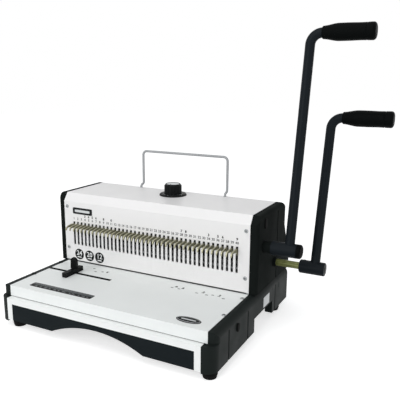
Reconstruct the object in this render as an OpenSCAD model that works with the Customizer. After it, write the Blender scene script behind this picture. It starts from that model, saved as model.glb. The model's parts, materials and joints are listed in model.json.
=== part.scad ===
// Desk machine that punches a row of holes in loose sheets and opens plastic ring combs.
// X runs along the row of slots, Y from the front edge to the rear, Z up from the desk.
// The origin lies on the desk, under the middle of the head panel's front face.

/* [Body] */
// Width of the white sheet body, between the side covers
body_w = 374; // [330:1:420]
// Thickness of a side cover, outwards from the body
cover_w = 13.5; // [13:0.5:18]
// Thickness of the painted sheets
sheet_t = 1.5; // [1:0.1:2]
// Wall of the moulded covers
wall_t = 2.5; // [2:0.1:3]
// Thickness of the steel side frames
frame_t = 4; // [3:0.5:5]
// Gap between pieces that sit beside each other
gap = 0.3; // [0.2:0.05:0.4]
// Radial clearance of a shaft, rod or screw in its hole
fit = 0.05; // [0.03:0.01:0.08]

/* [Table] */
// Height of the paper table above the desk
table_z = 71.6; // [70:0.2:76]
// Depth of the table, from the head panel to its front edge
table_d = 148.4; // [135:1:170]
// How far the lower front stands before the table's edge
tier_d = 9.6; // [6:0.2:14]
// Height of the ledge between the two fronts
tier_z = 52.1; // [50:0.1:56]
// Height of the drawer opening's upper edge
opening_z = 42.7; // [41:0.1:46]
// How far the covers' front columns reach in before the body's side
column_in = 6; // [4:0.5:9]
// Width of the white uprights beside the drawer
jamb_w = 10.5; // [8:0.5:16]
// Height of the drawer front's lower edge
drawer_low_z = 13.9; // [12:0.1:16]
// Width of the finger arch in the drawer's front
arch_w = 172; // [150:1:190]
// Height of the finger arch's crown above the desk
arch_z = 33.7; // [28:0.1:34]
// Length of the guide slot in the table
guide_slot_l = 136; // [120:1:150]
// Distance of the guide slot from the head panel
guide_slot_y = 52; // [45:1:60]

/* [Head] */
// Height of the head's top
head_z = 201.5; // [198:0.5:210]
// Height at which the head panel bends back
bend_z = 186.6; // [184:0.2:190]
// How far back the bend reaches at the top
bend_y = 10.2; // [8:0.2:14]
// Distance of the top's rear edge from the panel
top_y = 120; // [117:1:124]
// Distance of the rear face from the panel
rear_y = 131; // [129:1:136]
// Height of the rear chamfer's lower edge
chamfer_z = 193; // [190:0.5:196]
// Height at which the rear starts to flare out
flare_top_z = 160; // [150:1:170]
// Height at which the flare ends
flare_z = 90; // [80:1:100]
// Distance of the flared rear foot from the panel
flare_y = 162; // [155:1:170]
// Radius of the covers' upright front edges on the head
head_round_r = 7; // [5:0.5:12]
// Radius of the covers' top edges on the head
head_top_r = 5; // [4:0.5:10]
// Radius of the base covers' top edges
base_round_r = 12; // [9:0.5:12.5]

/* [Punch] */
// Distance between two holes
pitch = 8.47; // [8:0.01:9.4]
// Least room from the last hole to the body's side
row_end = 21.8; // [21.6:0.1:30]
// Width of a panel slot
slot_w = 4.2; // [3:0.1:4.4]
// Height of the slots' lower ends
slot_z = 104.8; // [103:0.1:105.5]
// Length of a slot
slot_h = 44.6; // [43:0.1:47]
// Side of a square punch pin
pin_w = 4; // [3:0.1:4.2]
// Distance of the holes from the panel
pin_y = 14; // [13.5:0.1:14.5]
// Height of the paper throat
throat_h = 2.2; // [1.8:0.1:2.4]
// Thickness of the die plate
die_t = 5; // [4:0.2:6]
// Downward stroke of the press bar
stroke = 9; // [7:0.1:9]
// Distance of the punch shaft from the panel
punch_y = 27.5; // [27:0.1:28]
// Height of the punch shaft
punch_z = 147; // [146.5:0.1:148]
// Radius of the punch shaft
punch_r = 7; // [6:0.1:7.2]
// Swing of the punch lever, degrees
punch_swing = 90; // [70:1:90]

/* [Ring opener] */
// Distance of the opener shaft from the panel
opener_y = 80.4; // [80:0.1:81]
// Height of the opener shaft
opener_z = 105.5; // [105:0.1:106]
// Radius of the opener shaft
opener_r = 6; // [5:0.1:6.5]
// Module of the opener gears
gear_m = 1.5; // [1.4:0.01:1.52]
// Teeth of an opener gear
gear_teeth = 22; // [20:2:22]
// Swing of the opener lever, degrees
opener_swing = 90; // [70:1:90]
// Thickness of a hook
hook_t = 2.2; // [1.5:0.1:3]
// How far a hook stands out of the panel
hook_l = 24; // [18:0.5:28]
// Radius of the rake's guide rods
rod_r = 4; // [3:0.1:4.5]

/* [Levers] */
// Radius of the punch lever's tube
punch_tube_r = 7.7; // [6:0.1:8]
// Radius of the opener lever's tube
opener_tube_r = 7.8; // [5.5:0.1:8]
// Wall of the lever tubes
tube_wall = 1.5; // [1:0.1:2.5]
// Radius of the bend at the top of a lever
lever_bend_r = 18; // [16:0.5:22]
// Length of a grip
grip_l = 80; // [70:1:100]
// Largest radius of a grip
grip_r = 13.3; // [12:0.1:15]
// Distance of the punch lever's tube from the side cover
punch_tube_out = 42.5; // [39.5:0.5:44.5]
// Length of the punch lever, from shaft to grip
punch_reach = 340; // [300:1:360]
// Backward lean of the punch lever at rest, degrees
punch_lean = 10.8; // [5:0.1:14]
// Length of the punch hub outwards from the tube's middle
punch_hub_out = 20; // [17:0.1:20]
// Distance of the opener lever's tube from the side cover
opener_tube_out = 71; // [71:0.5:75]
// Length of the opener lever, from shaft to grip
opener_reach = 251; // [220:1:270]
// Backward lean of the opener lever at rest, degrees
opener_lean = 13.6; // [6:0.1:16]
// Length of the opener shaft outwards from the tube's middle
opener_end_out = 17.2; // [15:0.1:20]

/* [Fittings] */
// Radius of the size knob
knob_r = 16; // [12:0.5:17]
// Height of the size knob
knob_h = 17; // [12:0.5:22]
// Radius of the dial under the knob
dial_r = 25; // [20:0.5:27]
// Distance of the knob from the panel
knob_y = 83; // [82:0.5:85]
// Radius of the knob's spindle
spindle_r = 4; // [3:0.1:4.5]
// Width of the wire stand
stand_w = 181; // [150:1:220]
// Height of the wire stand above the head
stand_h = 71; // [50:1:90]
// Radius of the stand's wire
wire_r = 2.3; // [1.25:0.05:2.8]
// Offset of the stand's uprights behind its feet
stand_back = 9; // [6:0.5:12]
// Distance of the edge guide from the body's left side
guide_in = 62; // [50:1:76]
// Length of the edge guide's fence
fence_l = 46; // [40:1:64]
// Radius of a rubber foot
foot_r = 11.5; // [8:0.5:12]
// Height of a rubber foot
foot_h = 11.2; // [8:0.2:11.6]
// Distance of the right feet from the right cover's face
right_foot_in = 13.5; // [13:0.5:30]
// Distance of the left feet from the left cover's face
left_foot_in = 28.5; // [13:0.5:30]
// Radius of the screws' shanks
screw_r = 1.5; // [1.2:0.1:1.7]
// Radius of the screws' heads
head_r = 3.4; // [2.5:0.1:3.5]

/* [Hidden] */
$fn = 64;

// Widths along X
body_x = body_w / 2;
cover_in_x = body_x + gap;
cover_x = body_x + cover_w;
frame_out_x = body_x - 0.5;
frame_x = frame_out_x - frame_t;
surround_x = body_x - column_in;
drawer_x = surround_x - jamb_w;
slots = floor((body_w - 2 * row_end) / pitch + 0.01) + 1;
row_x = (slots - 1) / 2 * pitch;
slot_xs = [for (i = [0 : slots - 1]) i * pitch - row_x];
rake_x = row_x + 5.4;
cam_t = 6;
cam_x = frame_x - 11;
press_x = cam_x + cam_t;
gear_t = 8;
gear_x = cam_x - 17.5;
arm_mid_x = gear_x + gear_t / 2;
punch_tube_x = cover_x + punch_tube_out;
punch_end_x = punch_tube_x + punch_hub_out;
opener_tube_x = cover_x + opener_tube_out;
opener_end_x = opener_tube_x + opener_end_out;

// Heights of the throat and the tools in it
die_low_z = table_z - die_t;
bed_t = 12;
bed_low_z = die_low_z - bed_t;
guide_low_z = table_z + throat_h;
guide_t = 6;
guide_top_z = guide_low_z + guide_t;
press_low_z = guide_top_z + stroke + gap;
press_t = 12;
press_top_z = press_low_z + press_t;
press_front_y = 7;
press_back_y = 26;
panel_low_z = guide_low_z + 0.2;
front_y = -table_d;
tier_y = -table_d - tier_d;

// Cams on the punch shaft: the lift per radian is constant on an involute
cam_rate = stroke / (punch_swing * PI / 180);
cam_lift = 8.6;
follower_z = punch_z - cam_lift - 0.2;
post_front_y = 12;
post_back_y = 36;

// Gears and racks of the ring opener
gear_r = gear_m * gear_teeth / 2;
rake_travel = gear_r * opener_swing * PI / 180;
rack_y = opener_y - gear_r;
arm_top_z = punch_z - punch_r - 2.4;
arm_low_z = arm_top_z - 10;
rake_low_z = arm_low_z - 4;
rake_top_z = arm_top_z + 9;
rake_front_y = sheet_t + 1.5;
rake_back_y = rake_front_y + 3;
rod_y = 44;
nut_rod_y = 60;
nut_rod_r = 3;
tongue_x = 5;
tongue_y = 66;
nut_low_z = arm_top_z + 0.4;
nut_h = 12;
nut_x = 9;
beam_top_z = head_z - 11.5;
beam_t = 6;
beam_front_y = 36;
beam_back_y = 96;

// Drawer
runner_z = opening_z - 2.6;
flange_t = 1.5;
tray_side = 0.5;
tray_flange_w = 5;
tray_flange_x = drawer_x - tray_side;
tray_x = tray_flange_x - tray_flange_w;
tray_back = 63;
tray_front_y = front_y + tray_back;
tray_back_y = 50;
tray_low_z = drawer_low_z + 0.4;
tray_top_z = runner_z + gap + flange_t;
bridge_z = arch_z + 2;
front_t = 3;

// Base covers: the arch between the long side and the rear leg, and the feet
gate_low_z = 34.5;
leg_y = 79;
gate_y = -5;
front_foot_y = front_y + 8;
rear_foot_y = 122;
right_foot_x = cover_x - right_foot_in;
left_foot_x = cover_x - left_foot_in;
base_rear_y = flare_y - 2;
groove_ys = [-106, -33, 93];
groove_w = 3;
groove_d = 1.2;
head_low_z = table_z + gap;

// Screws
panel_screw_in = 6.7;
panel_screw_x = body_x - panel_screw_in;
panel_screw_zs = [97.9, 176.9];
table_screw_ys = [-90, -20];
base_screw = [-75, 50];
head_screw = [31, 184.5];
head_screw_h = 1.2;

// Fittings on the head and the table
socket_y = top_y - 4.5;
socket_r = wire_r + 1.05;
socket_d = 12;
slot_gap = 3.5;
guide_slot_x = -body_x + 4.6;
guide_x = body_x - guide_in;
fence_w = 9;
fence_h = 8;
fence_shift = 5;
tab_w = 14;
tab_t = 5;
tab_h = 20;
slider_l = 24;
slider_w = 16;
slider_t = 3.5;
track_t = 2;
track_h = slider_t + 2 * gap + track_t;

// Outline of the head and the base seen from the side, anticlockwise
head_outline = [[flare_y, head_low_z], [flare_y, flare_z], [rear_y, flare_top_z],
  [rear_y, chamfer_z], [top_y, head_z], [bend_y, head_z], [0, bend_z], [0, head_low_z]];
frame_low_z = 36;
frame_outline = concat([[front_y + 6, frame_low_z], [flare_y, frame_low_z]],
  [for (i = [1 : 6]) head_outline[i]], [[0, table_z], [front_y + 6, table_z]]);

function unit(v) = v / norm(v);
function left_of(v) = [-v[1], v[0]];

// Moves each edge of a closed outline inwards by d
function inset(p, d) = let (n = len(p)) [for (i = [0 : n - 1])
  let (u = left_of(unit(p[i] - p[(i + n - 1) % n])), v = left_of(unit(p[(i + 1) % n] - p[i])))
  p[i] + d * (u + v) / (1 + u * v)];

// Moves an open line to its right by d
function beside(p, d) = let (n = len(p)) [for (i = [0 : n - 1])
  let (u = left_of(unit(p[max(i, 1)] - p[max(i, 1) - 1])),
       j = min(i, n - 2), v = left_of(unit(p[j + 1] - p[j])))
  p[i] - d * (u + v) / (1 + u * v)];

function backwards(p) = [for (i = [len(p) - 1 : -1 : 0]) p[i]];

// A bent sheet's section: a line and the same line moved by the sheet's thickness
module sheet(p) polygon(concat(p, backwards(beside(p, sheet_t))));

// Extrudes a side view, drawn as Y and Z, from x0 to x1
module side_view(x0, x1) translate([x0, 0, 0]) rotate([90, 0, 90]) linear_extrude(x1 - x0) children();

// Extrudes a front view, drawn as X and Z, from y0 to y1
module front_view(y0, y1) translate([0, y1, 0]) rotate([90, 0, 0]) linear_extrude(y1 - y0) children();

// Extrudes a plan from z0 to z1
module plan(z0, z1) translate([0, 0, z0]) linear_extrude(z1 - z0) children();

module box(low, high) translate(low) cube(high - low);
module rod_x(r, x0, x1) translate([x0, 0, 0]) rotate([0, 90, 0]) cylinder(r = r, h = x1 - x0);
module rod_z(r, z0, z1) translate([0, 0, z0]) cylinder(r = r, h = z1 - z0);
module both_sides() {
  children();
  mirror([1, 0, 0]) children();
}
module at_punch() translate([0, punch_y, punch_z]) children();
module at_opener() translate([0, opener_y, opener_z]) children();

// Rectangle with one round corner, at its largest x and at y0, or at y1 where upper is true
module one_round(x0, x1, y0, y1, r, upper) difference() {
  translate([x0, y0]) square([x1 - x0, y1 - y0]);
  difference() {
    translate([x1 - r, upper ? y1 - r : y0]) square([r, r]);
    translate([x1 - r, upper ? y1 - r : y0 + r]) circle(r);
  }
}

// White sheet that forms the head's front, bend and top
module head_panel() color("whitesmoke") difference() {
  side_view(-body_x, body_x)
    sheet([[0, panel_low_z], [0, bend_z], [bend_y, head_z], [top_y, head_z]]);
  front_view(-sheet_t, 2 * sheet_t) for (x = slot_xs)
    translate([x - slot_w / 2, slot_z]) square([slot_w, slot_h]);
  for (x = [-panel_screw_x, panel_screw_x], z = panel_screw_zs)
    translate([x, 2 * sheet_t, z]) rotate([90, 0, 0]) cylinder(r = screw_r + fit, h = 3 * sheet_t);
  translate([0, knob_y, 0]) rod_z(spindle_r + gap, head_z - 2 * sheet_t, head_z + sheet_t);
  both_sides() translate([stand_w / 2, socket_y, 0])
    rod_z(socket_r + fit, head_z - 2 * sheet_t, head_z + sheet_t);
}

// White sheet that closes the rear, between the side covers
rear_start = [top_y, head_z] + (sheet_t + gap) * unit([rear_y - top_y, chamfer_z - head_z]);
module rear_cover() color("gainsboro") side_view(-body_x, body_x)
  sheet([rear_start, [rear_y, chamfer_z], [rear_y, flare_top_z], [flare_y, flare_z],
    [flare_y, frame_low_z]]);

// Paper table with its front skirt and the slot for the edge guide
seam_h = 1.3;
module table_plate() color("gainsboro") difference() {
  side_view(-body_x, body_x)
    sheet([[front_y, tier_z + seam_h], [front_y, table_z], [0, table_z]]);
  plan(table_z - 2 * sheet_t, table_z + sheet_t)
    translate([guide_slot_x, -guide_slot_y - slot_gap]) square([guide_slot_l, 2 * slot_gap]);
  for (x = [-1, 1], y = table_screw_ys) translate([x * (frame_x + frame_t / 2), y, 0])
    rod_z(screw_r + fit, table_z - 2 * sheet_t, table_z + sheet_t);
}

// White frame round the drawer: a face with a large opening, and the ledge above it
module front_surround() color("whitesmoke") {
  front_view(tier_y, tier_y + sheet_t) difference() {
    translate([-surround_x, drawer_low_z]) square([2 * surround_x, tier_z - drawer_low_z]);
    translate([-drawer_x - gap, 0]) square([2 * (drawer_x + gap), opening_z]);
  }
  box([-surround_x, tier_y + sheet_t, tier_z - sheet_t], [surround_x, front_y + sheet_t, tier_z]);
}

// Steel plate inside each side cover, with a bent flange behind the head panel
module side_frame() color("silver") difference() {
  union() {
    side_view(frame_x, frame_out_x) polygon(inset(frame_outline, sheet_t + gap));
    box([panel_screw_x - 5, sheet_t + gap, guide_top_z + 2],
      [frame_x + 0.5, sheet_t + gap + frame_t, bend_z - 2]);
  }
  at_punch() rod_x(punch_r + 4 + fit, frame_x - 1, frame_out_x + 1);
  at_opener() rod_x(opener_r + 3 + fit, frame_x - 1, frame_out_x + 1);
  for (z = panel_screw_zs) translate([panel_screw_x, frame_t + 2 * sheet_t, z])
    rotate([90, 0, 0]) cylinder(r = screw_r + fit, h = frame_t + 2 * sheet_t);
  for (y = table_screw_ys) translate([frame_x + frame_t / 2, y, 0])
    rod_z(screw_r + fit, table_z - 10, table_z + 1);
  for (p = [base_screw, head_screw]) translate([0, p[0], p[1]])
    rod_x(screw_r + fit, frame_x - 1, frame_out_x + 1);
}
module side_frame_right() side_frame();
module side_frame_left() mirror([1, 0, 0]) side_frame();

// Upright grooves that divide a cover's outer face into panels
module cover_grooves(z0, z1) for (y = groove_ys)
  box([cover_x - groove_d, y - groove_w / 2, z0], [cover_x + 1, y + groove_w / 2, z1]);

// Moulded end of the head: a hollow shell, open towards the frame
module head_cover() difference() {
  intersection() {
    side_view(cover_in_x, cover_x) polygon(head_outline);
    plan(0, head_z) one_round(cover_in_x, cover_x, 0, flare_y, head_round_r, false);
    front_view(0, flare_y) one_round(cover_in_x, cover_x, 0, head_z, head_top_r, true);
  }
  intersection() {
    side_view(cover_in_x - 1, cover_x - wall_t) polygon(inset(head_outline, wall_t));
    plan(0, head_z) one_round(cover_in_x - 1, cover_x - wall_t, wall_t, flare_y,
      head_round_r - wall_t, false);
    front_view(0, flare_y) one_round(cover_in_x - 1, cover_x - wall_t, 0, head_z - wall_t,
      head_top_r - wall_t, true);
  }
  cover_grooves(head_low_z - 1, chamfer_z);
  translate([0, head_screw[0], head_screw[1]]) rod_x(screw_r + fit, cover_in_x, cover_x + 1);
}

// The right one lets both shafts out, each through a collar
collar_l = 13;
low_collar_l = 5;
module head_cover_right() color("#232627") {
  difference() {
    union() {
      head_cover();
      at_punch() rod_x(punch_r + 2.5, cover_x - wall_t, cover_x + collar_l);
      at_opener() rod_x(opener_r + 2.5, cover_x - wall_t, cover_x + low_collar_l);
    }
    at_punch() rod_x(punch_r + gap, cover_in_x, cover_x + collar_l + 1);
    at_opener() rod_x(opener_r + gap, cover_in_x, cover_x + low_collar_l + 1);
  }
}
module head_cover_left() color("#232627") mirror([1, 0, 0]) head_cover();

// Side view of a base cover, from its front column over the arch to the rear leg
base_outline = [[tier_y, foot_h], [gate_y, foot_h], [gate_y, gate_low_z], [leg_y, gate_low_z],
  [leg_y, foot_h], [base_rear_y, foot_h], [base_rear_y, table_z], [tier_y, table_z]];

// Inside of a base cover, behind the solid front column
base_floor_z = foot_h + wall_t;
base_hollow = [[front_y + cover_w, base_floor_z], [gate_y - wall_t, base_floor_z],
  [gate_y - wall_t, gate_low_z + wall_t], [leg_y + wall_t, gate_low_z + wall_t],
  [leg_y + wall_t, base_floor_z], [base_rear_y - wall_t, base_floor_z],
  [base_rear_y - wall_t, table_z - wall_t], [front_y + cover_w, table_z - wall_t]];

// Moulded end of the base: shell, foot pads and the round front corners of both fronts
module base_cover(foot_x) color("#232627") difference() {
  union() {
    intersection() {
      side_view(surround_x + gap, cover_x) polygon(base_outline);
      union() {
        plan(0, tier_z) difference() {
          one_round(surround_x + gap, cover_x, tier_y, gate_y, cover_x - surround_x - 2 * gap, false);
          translate([surround_x, front_y + 4]) square([cover_in_x - surround_x, table_d]);
        }
        plan(0, table_z) one_round(cover_in_x, cover_x, front_y, flare_y, cover_w - 2 * gap, false);
      }
      front_view(tier_y, flare_y) one_round(surround_x, cover_x, 0, table_z, base_round_r, true);
    }
    for (y = [front_foot_y, rear_foot_y])
      box([foot_x - foot_r, y - foot_r, foot_h], [cover_in_x + wall_t, y + foot_r, base_floor_z]);
  }
  intersection() {
    side_view(cover_in_x - 1, cover_x - wall_t) polygon(base_hollow);
    front_view(tier_y, flare_y) one_round(cover_in_x - 1, cover_x - wall_t, 0, table_z - wall_t,
      base_round_r - wall_t, true);
  }
  cover_grooves(foot_h - 1, table_z - base_round_r);
  translate([0, base_screw[0], base_screw[1]]) rod_x(screw_r + fit, cover_in_x, cover_x + 1);
}
module base_cover_right() base_cover(right_foot_x);
module base_cover_left() mirror([1, 0, 0]) base_cover(left_foot_x);

// Bars that hold the two side frames apart
module front_tie() color("silver")
  box([-frame_x, front_y + 10, tier_z + 4], [frame_x, front_y + 22, table_z - sheet_t - 2]);
tie_in = 6;
tie_d = 14;
tie_h = 16;
tie_low_z = frame_low_z + 8;
module rear_tie() color("silver")
  box([-frame_x, flare_y - tie_in - tie_d, tie_low_z], [frame_x, flare_y - tie_in, tie_low_z + tie_h]);
module top_beam() color("silver") difference() {
  box([-frame_x, beam_front_y, beam_top_z - beam_t], [frame_x, beam_back_y, beam_top_z]);
  both_sides() translate([arm_mid_x, rod_y, 0])
    rod_z(rod_r + fit, beam_top_z - beam_t - 1, beam_top_z + 1);
  translate([0, nut_rod_y, 0]) rod_z(nut_rod_r + fit, beam_top_z - beam_t - 1, beam_top_z + 1);
  translate([0, knob_y, 0]) rod_z(spindle_r + 2 + fit, beam_top_z - beam_t - 1, beam_top_z + 1);
}

// Bed under the die, with a slot for the waste and seats for the rake's rods
module die_bed() color("slategray") difference() {
  box([-frame_x, rake_front_y, bed_low_z], [frame_x, rod_y + 8, die_low_z]);
  box([-row_x - pitch, pin_y - pin_w, bed_low_z - 1], [row_x + pitch, pin_y + pin_w, die_low_z + 1]);
  both_sides() translate([arm_mid_x, rod_y, 0])
    rod_z(rod_r + fit, die_low_z - 6, die_low_z + 1);
}

module pin_holes(clear) for (x = slot_xs)
  translate([x - pin_w / 2 - clear, pin_y - pin_w / 2 - clear])
    square([pin_w + 2 * clear, pin_w + 2 * clear]);

// Hardened plate with one square hole for each pin
module die_plate() color("lightsteelblue") plan(die_low_z, table_z) difference() {
  translate([-frame_x, gap]) square([2 * frame_x, rod_y - rod_r - 4]);
  pin_holes(0.1);
}

// Packing at both ends that sets the throat's height
module throat_spacers() color("silver") both_sides()
  box([press_x, press_front_y - 3, table_z], [frame_x, press_back_y - 2, guide_low_z]);

// Bar at the back of the throat that the sheets meet
module paper_stop() color("silver")
  box([-press_x + gap, pin_y + 5, table_z], [press_x - gap, press_back_y - 2, guide_low_z]);

// Block that guides the pins and strips the sheets off them
module pin_guide() color("slategray") plan(guide_low_z, guide_top_z) difference() {
  translate([-frame_x, press_front_y - 3]) square([2 * frame_x, press_back_y - press_front_y + 2]);
  pin_holes(0.1);
}

// Slide plates on the frames for the press bar's posts
module press_gibs() color("peru") both_sides()
  box([press_x + 0.1, post_front_y, press_low_z - 4], [frame_x, post_back_y, follower_z - 4]);

// Springs that lift the press bar, in pockets in its underside
spring_r = 3;
spring_y = press_back_y - 4.6;
spring_seat = 8;
spring_top_z = press_low_z + spring_seat;
spring_xs = [-0.75, -0.25, 0.25, 0.75] * row_x;
module press_springs() color("dimgray") for (x = spring_xs) translate([x, spring_y, 0]) difference() {
  rod_z(spring_r, guide_top_z, spring_top_z);
  rod_z(spring_r - 1, guide_top_z - 1, spring_top_z + 1);
}

module punch_bushes() color("peru") both_sides() at_punch() difference() {
  rod_x(punch_r + 4, frame_x - 2, frame_out_x);
  rod_x(punch_r + fit, frame_x - 3, frame_out_x + 1);
}
module opener_bushes() color("peru") both_sides() at_opener() difference() {
  rod_x(opener_r + 3, frame_x - 2, frame_out_x);
  rod_x(opener_r + fit, frame_x - 3, frame_out_x + 1);
}

// Rods on which the rake and the height nut slide
module rake_rods() color("lightgray") both_sides() translate([arm_mid_x, rod_y, 0])
  rod_z(rod_r, die_low_z - 6, beam_top_z);
module nut_rod() color("lightgray") translate([0, nut_rod_y, 0])
  rod_z(nut_rod_r, nut_low_z + 1, beam_top_z);
module spindle_bush() color("peru") translate([0, knob_y, 0]) difference() {
  rod_z(spindle_r + 2, beam_top_z - beam_t, head_z - sheet_t);
  rod_z(spindle_r + fit, beam_top_z - beam_t - 1, head_z);
}

// Fixed dial under the knob
dial_t = 3;
module dial_plate() color("#1b1d1d") translate([0, knob_y, 0])
  rotate_extrude() polygon([[spindle_r + gap, head_z], [dial_r, head_z],
    [dial_r, head_z + dial_t / 2], [dial_r - dial_t / 2, head_z + dial_t],
    [spindle_r + gap, head_z + dial_t]]);

// Blind sleeves in the top that hold the wire stand's feet
module stand_sockets() color("lightgray") both_sides() translate([stand_w / 2, socket_y, 0])
  difference() {
    rod_z(socket_r, head_z - socket_d - 2, head_z + gap);
    rod_z(wire_r + fit, head_z - socket_d, head_z + 2);
  }

// Shelves on the frames that the drawer's flanges slide on
module drawer_runners() color("silver") both_sides()
  box([tray_x + 2, tier_y + 14, runner_z - 3], [frame_x, tray_back_y + 14, runner_z]);

module foot() rotate_extrude() polygon([[0, 0], [foot_r - 1.5, 0], [foot_r, foot_h / 2],
  [foot_r - 1, foot_h], [0, foot_h]]);
module feet(y) color("#111111") for (x = [-left_foot_x, right_foot_x]) translate([x, y, 0]) foot();
module front_feet() feet(front_foot_y);
module rear_feet() feet(rear_foot_y);

// A screw along Z with its head's underside at z 0
module screw(shank) {
  rod_z(screw_r, -shank, head_screw_h / 2);
  rotate_extrude() polygon([[0, 0], [head_r, 0], [head_r, head_screw_h / 2],
    [head_r - head_screw_h / 2, head_screw_h], [0, head_screw_h]]);
}
module panel_screws() color("lightgray") for (x = [-panel_screw_x, panel_screw_x], z = panel_screw_zs)
  translate([x, 0, z]) rotate([90, 0, 0]) screw(sheet_t + frame_t);
module table_screws() color("lightgray") both_sides() for (y = table_screw_ys)
  translate([frame_x + frame_t / 2, y, table_z]) screw(8);
module cover_screws() color("dimgray") both_sides() for (p = [base_screw, head_screw])
  translate([cover_x, p[0], p[1]]) rotate([0, 90, 0]) screw(cover_w + frame_t);

module punch_shaft() color("lightgray") at_punch() rod_x(punch_r, -frame_out_x - 3, punch_end_x - 7);

// Involute plates: the follower under them moves at a constant rate as the shaft turns
cam_angles = [for (a = [0 : 3 : punch_swing + 6]) a];
function cam_point(a) = let (b = -90 - a, lift = cam_lift + cam_rate * a * PI / 180)
  lift * [cos(b), sin(b)] - cam_rate * [-sin(b), cos(b)];
module punch_cams() color("darkgray") both_sides() at_punch() difference() {
  side_view(cam_x, cam_x + cam_t) {
    circle(cam_lift - 0.3);
    polygon(concat([[0, 0]], [for (a = cam_angles) cam_point(a)]));
  }
  rod_x(punch_r + fit, cam_x - 1, cam_x + cam_t + 1);
}

// Sleeve on a shaft's end that carries the lever's tube
module hub(r, bore, x0, x1) difference() {
  union() {
    rod_x(r, x0 + 1, x1 - 1);
    rod_x(r - 1, x0, x1);
  }
  rod_x(bore + fit, x0 - 1, x1 + 1);
}
punch_hub_r = 11.4;
opener_hub_r = 11.2;
punch_hub_x = cover_x + collar_l + 0.5;
opener_hub_in = 25;
opener_hub_x = opener_tube_x - opener_hub_in;
cap_l = 6.8;
module punch_hub() color("#2c3238") at_punch() hub(punch_hub_r, punch_r, punch_hub_x, punch_end_x - cap_l);
module punch_hub_cap() color("#16181a") at_punch() translate([punch_end_x - cap_l, 0, 0]) rotate([0, 90, 0])
  rotate_extrude() polygon([[0, 0], [punch_hub_r, 0], [punch_hub_r, cap_l - 2],
    [punch_hub_r - 2, cap_l], [0, cap_l]]);

// Solid end of a grip, past the tube in it
grip_end = 8;

// Centre line of a lever as a round bar: up from the shaft, round the bend and along the grip
module lever_bar(r, tube_x, reach) {
  translate([tube_x, 0, 0]) rod_z(r, 0, reach - lever_bend_r);
  translate([tube_x + lever_bend_r, 0, reach - lever_bend_r]) rotate([90, 0, 0]) rotate([0, 0, 90])
    rotate_extrude(angle = 90) translate([lever_bend_r, 0]) circle(r);
  translate([0, 0, reach]) rod_x(r, tube_x + lever_bend_r, tube_x + lever_bend_r + grip_l - grip_end);
}
module lever(r, tube_x, reach, lean, hub_r) difference() {
  rotate([-lean, 0, 0]) difference() {
    lever_bar(r, tube_x, reach);
    lever_bar(r - tube_wall, tube_x, reach);
  }
  rod_x(hub_r, tube_x - 2 * r, tube_x + 2 * r);
}

// Moulded grip: swells from its collar to a round end
module grip(r, tube_x, reach, lean) rotate([-lean, 0, 0])
  translate([tube_x + lever_bend_r, 0, reach]) rotate([0, 90, 0]) difference() {
    rotate_extrude() polygon([[0, 0], [grip_r - 4.2, 0], [grip_r - 3.2, 1], [grip_r - 1, grip_l * 0.18],
      [grip_r, grip_l * 0.34], [grip_r - 0.4, grip_l * 0.7], [grip_r - 0.2, grip_l - 4],
      [grip_r - 3, grip_l], [0, grip_l]]);
    rod_z(r + fit, -1, grip_l - grip_end + gap);
  }
module punch_lever() color("#2c3238") at_punch()
  lever(punch_tube_r, punch_tube_x, punch_reach, punch_lean, punch_hub_r);
module punch_grip() color("#191b1b") at_punch()
  grip(punch_tube_r, punch_tube_x, punch_reach, punch_lean);

// Bar that drives the pins, with a post at each end under its cam
module press_bar() color("slategray") {
  difference() {
    box([-press_x, press_front_y, press_low_z], [press_x, press_back_y, press_top_z]);
    for (x = spring_xs) translate([x, spring_y, 0])
      rod_z(spring_r + gap, press_low_z - 1, spring_top_z + fit);
  }
  both_sides() box([cam_x, post_front_y, press_top_z], [press_x, post_back_y, follower_z]);
}
module punch_pins() color("lightgray") plan(guide_low_z + 0.6, press_low_z) pin_holes(0);

module opener_shaft() color("#9a9a52") at_opener() rod_x(opener_r, -frame_out_x - 3, opener_end_x);

// Involute spur gear as an outline: radius and half angle of a tooth at each step of its flank
gear_base_r = gear_r * cos(20);
gear_tip_r = gear_r + gear_m;
gear_root_r = gear_r - 1.25 * gear_m;
backlash = 0.2;
function roll(r) = sqrt(pow(max(r, gear_base_r) / gear_base_r, 2) - 1);
function involute(r) = roll(r) * 180 / PI - atan(roll(r));
function half_angle(r) = 90 / gear_teeth - backlash / 4 / gear_r * 180 / PI
  + involute(gear_r) - involute(r);
flank_rs = concat([gear_root_r], [for (i = [0 : 4]) gear_base_r + (gear_tip_r - gear_base_r) * i / 4]);
function polar(r, a) = r * [cos(a), sin(a)];
gear_points = [for (k = [0 : gear_teeth - 1]) let (a = (k + 0.5) * 360 / gear_teeth)
  each concat([for (r = flank_rs) polar(r, a - half_angle(r))],
    [for (r = backwards(flank_rs)) polar(r, a + half_angle(r))])];
module opener_gears() color("darkgray") both_sides() at_opener() difference() {
  side_view(gear_x, gear_x + gear_t) polygon(gear_points);
  rod_x(opener_r + fit, gear_x - 1, gear_x + gear_t + 1);
}
module opener_hub() color("#2c3238") at_opener() hub(opener_hub_r, opener_r, opener_hub_x, opener_end_x);
module opener_lever() color("#2c3238") at_opener()
  lever(opener_tube_r, opener_tube_x, opener_reach, opener_lean, opener_hub_r);
module opener_grip() color("#191b1b") at_opener()
  grip(opener_tube_r, opener_tube_x, opener_reach, opener_lean);

// Strip that carries the hooks, with a tongue under the height nut
module rake_bar() color("silver") {
  box([-rake_x, rake_front_y, rake_low_z], [rake_x, rake_back_y, rake_top_z]);
  box([-tongue_x, rake_back_y, arm_low_z], [tongue_x, tongue_y, arm_top_z]);
}

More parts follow.
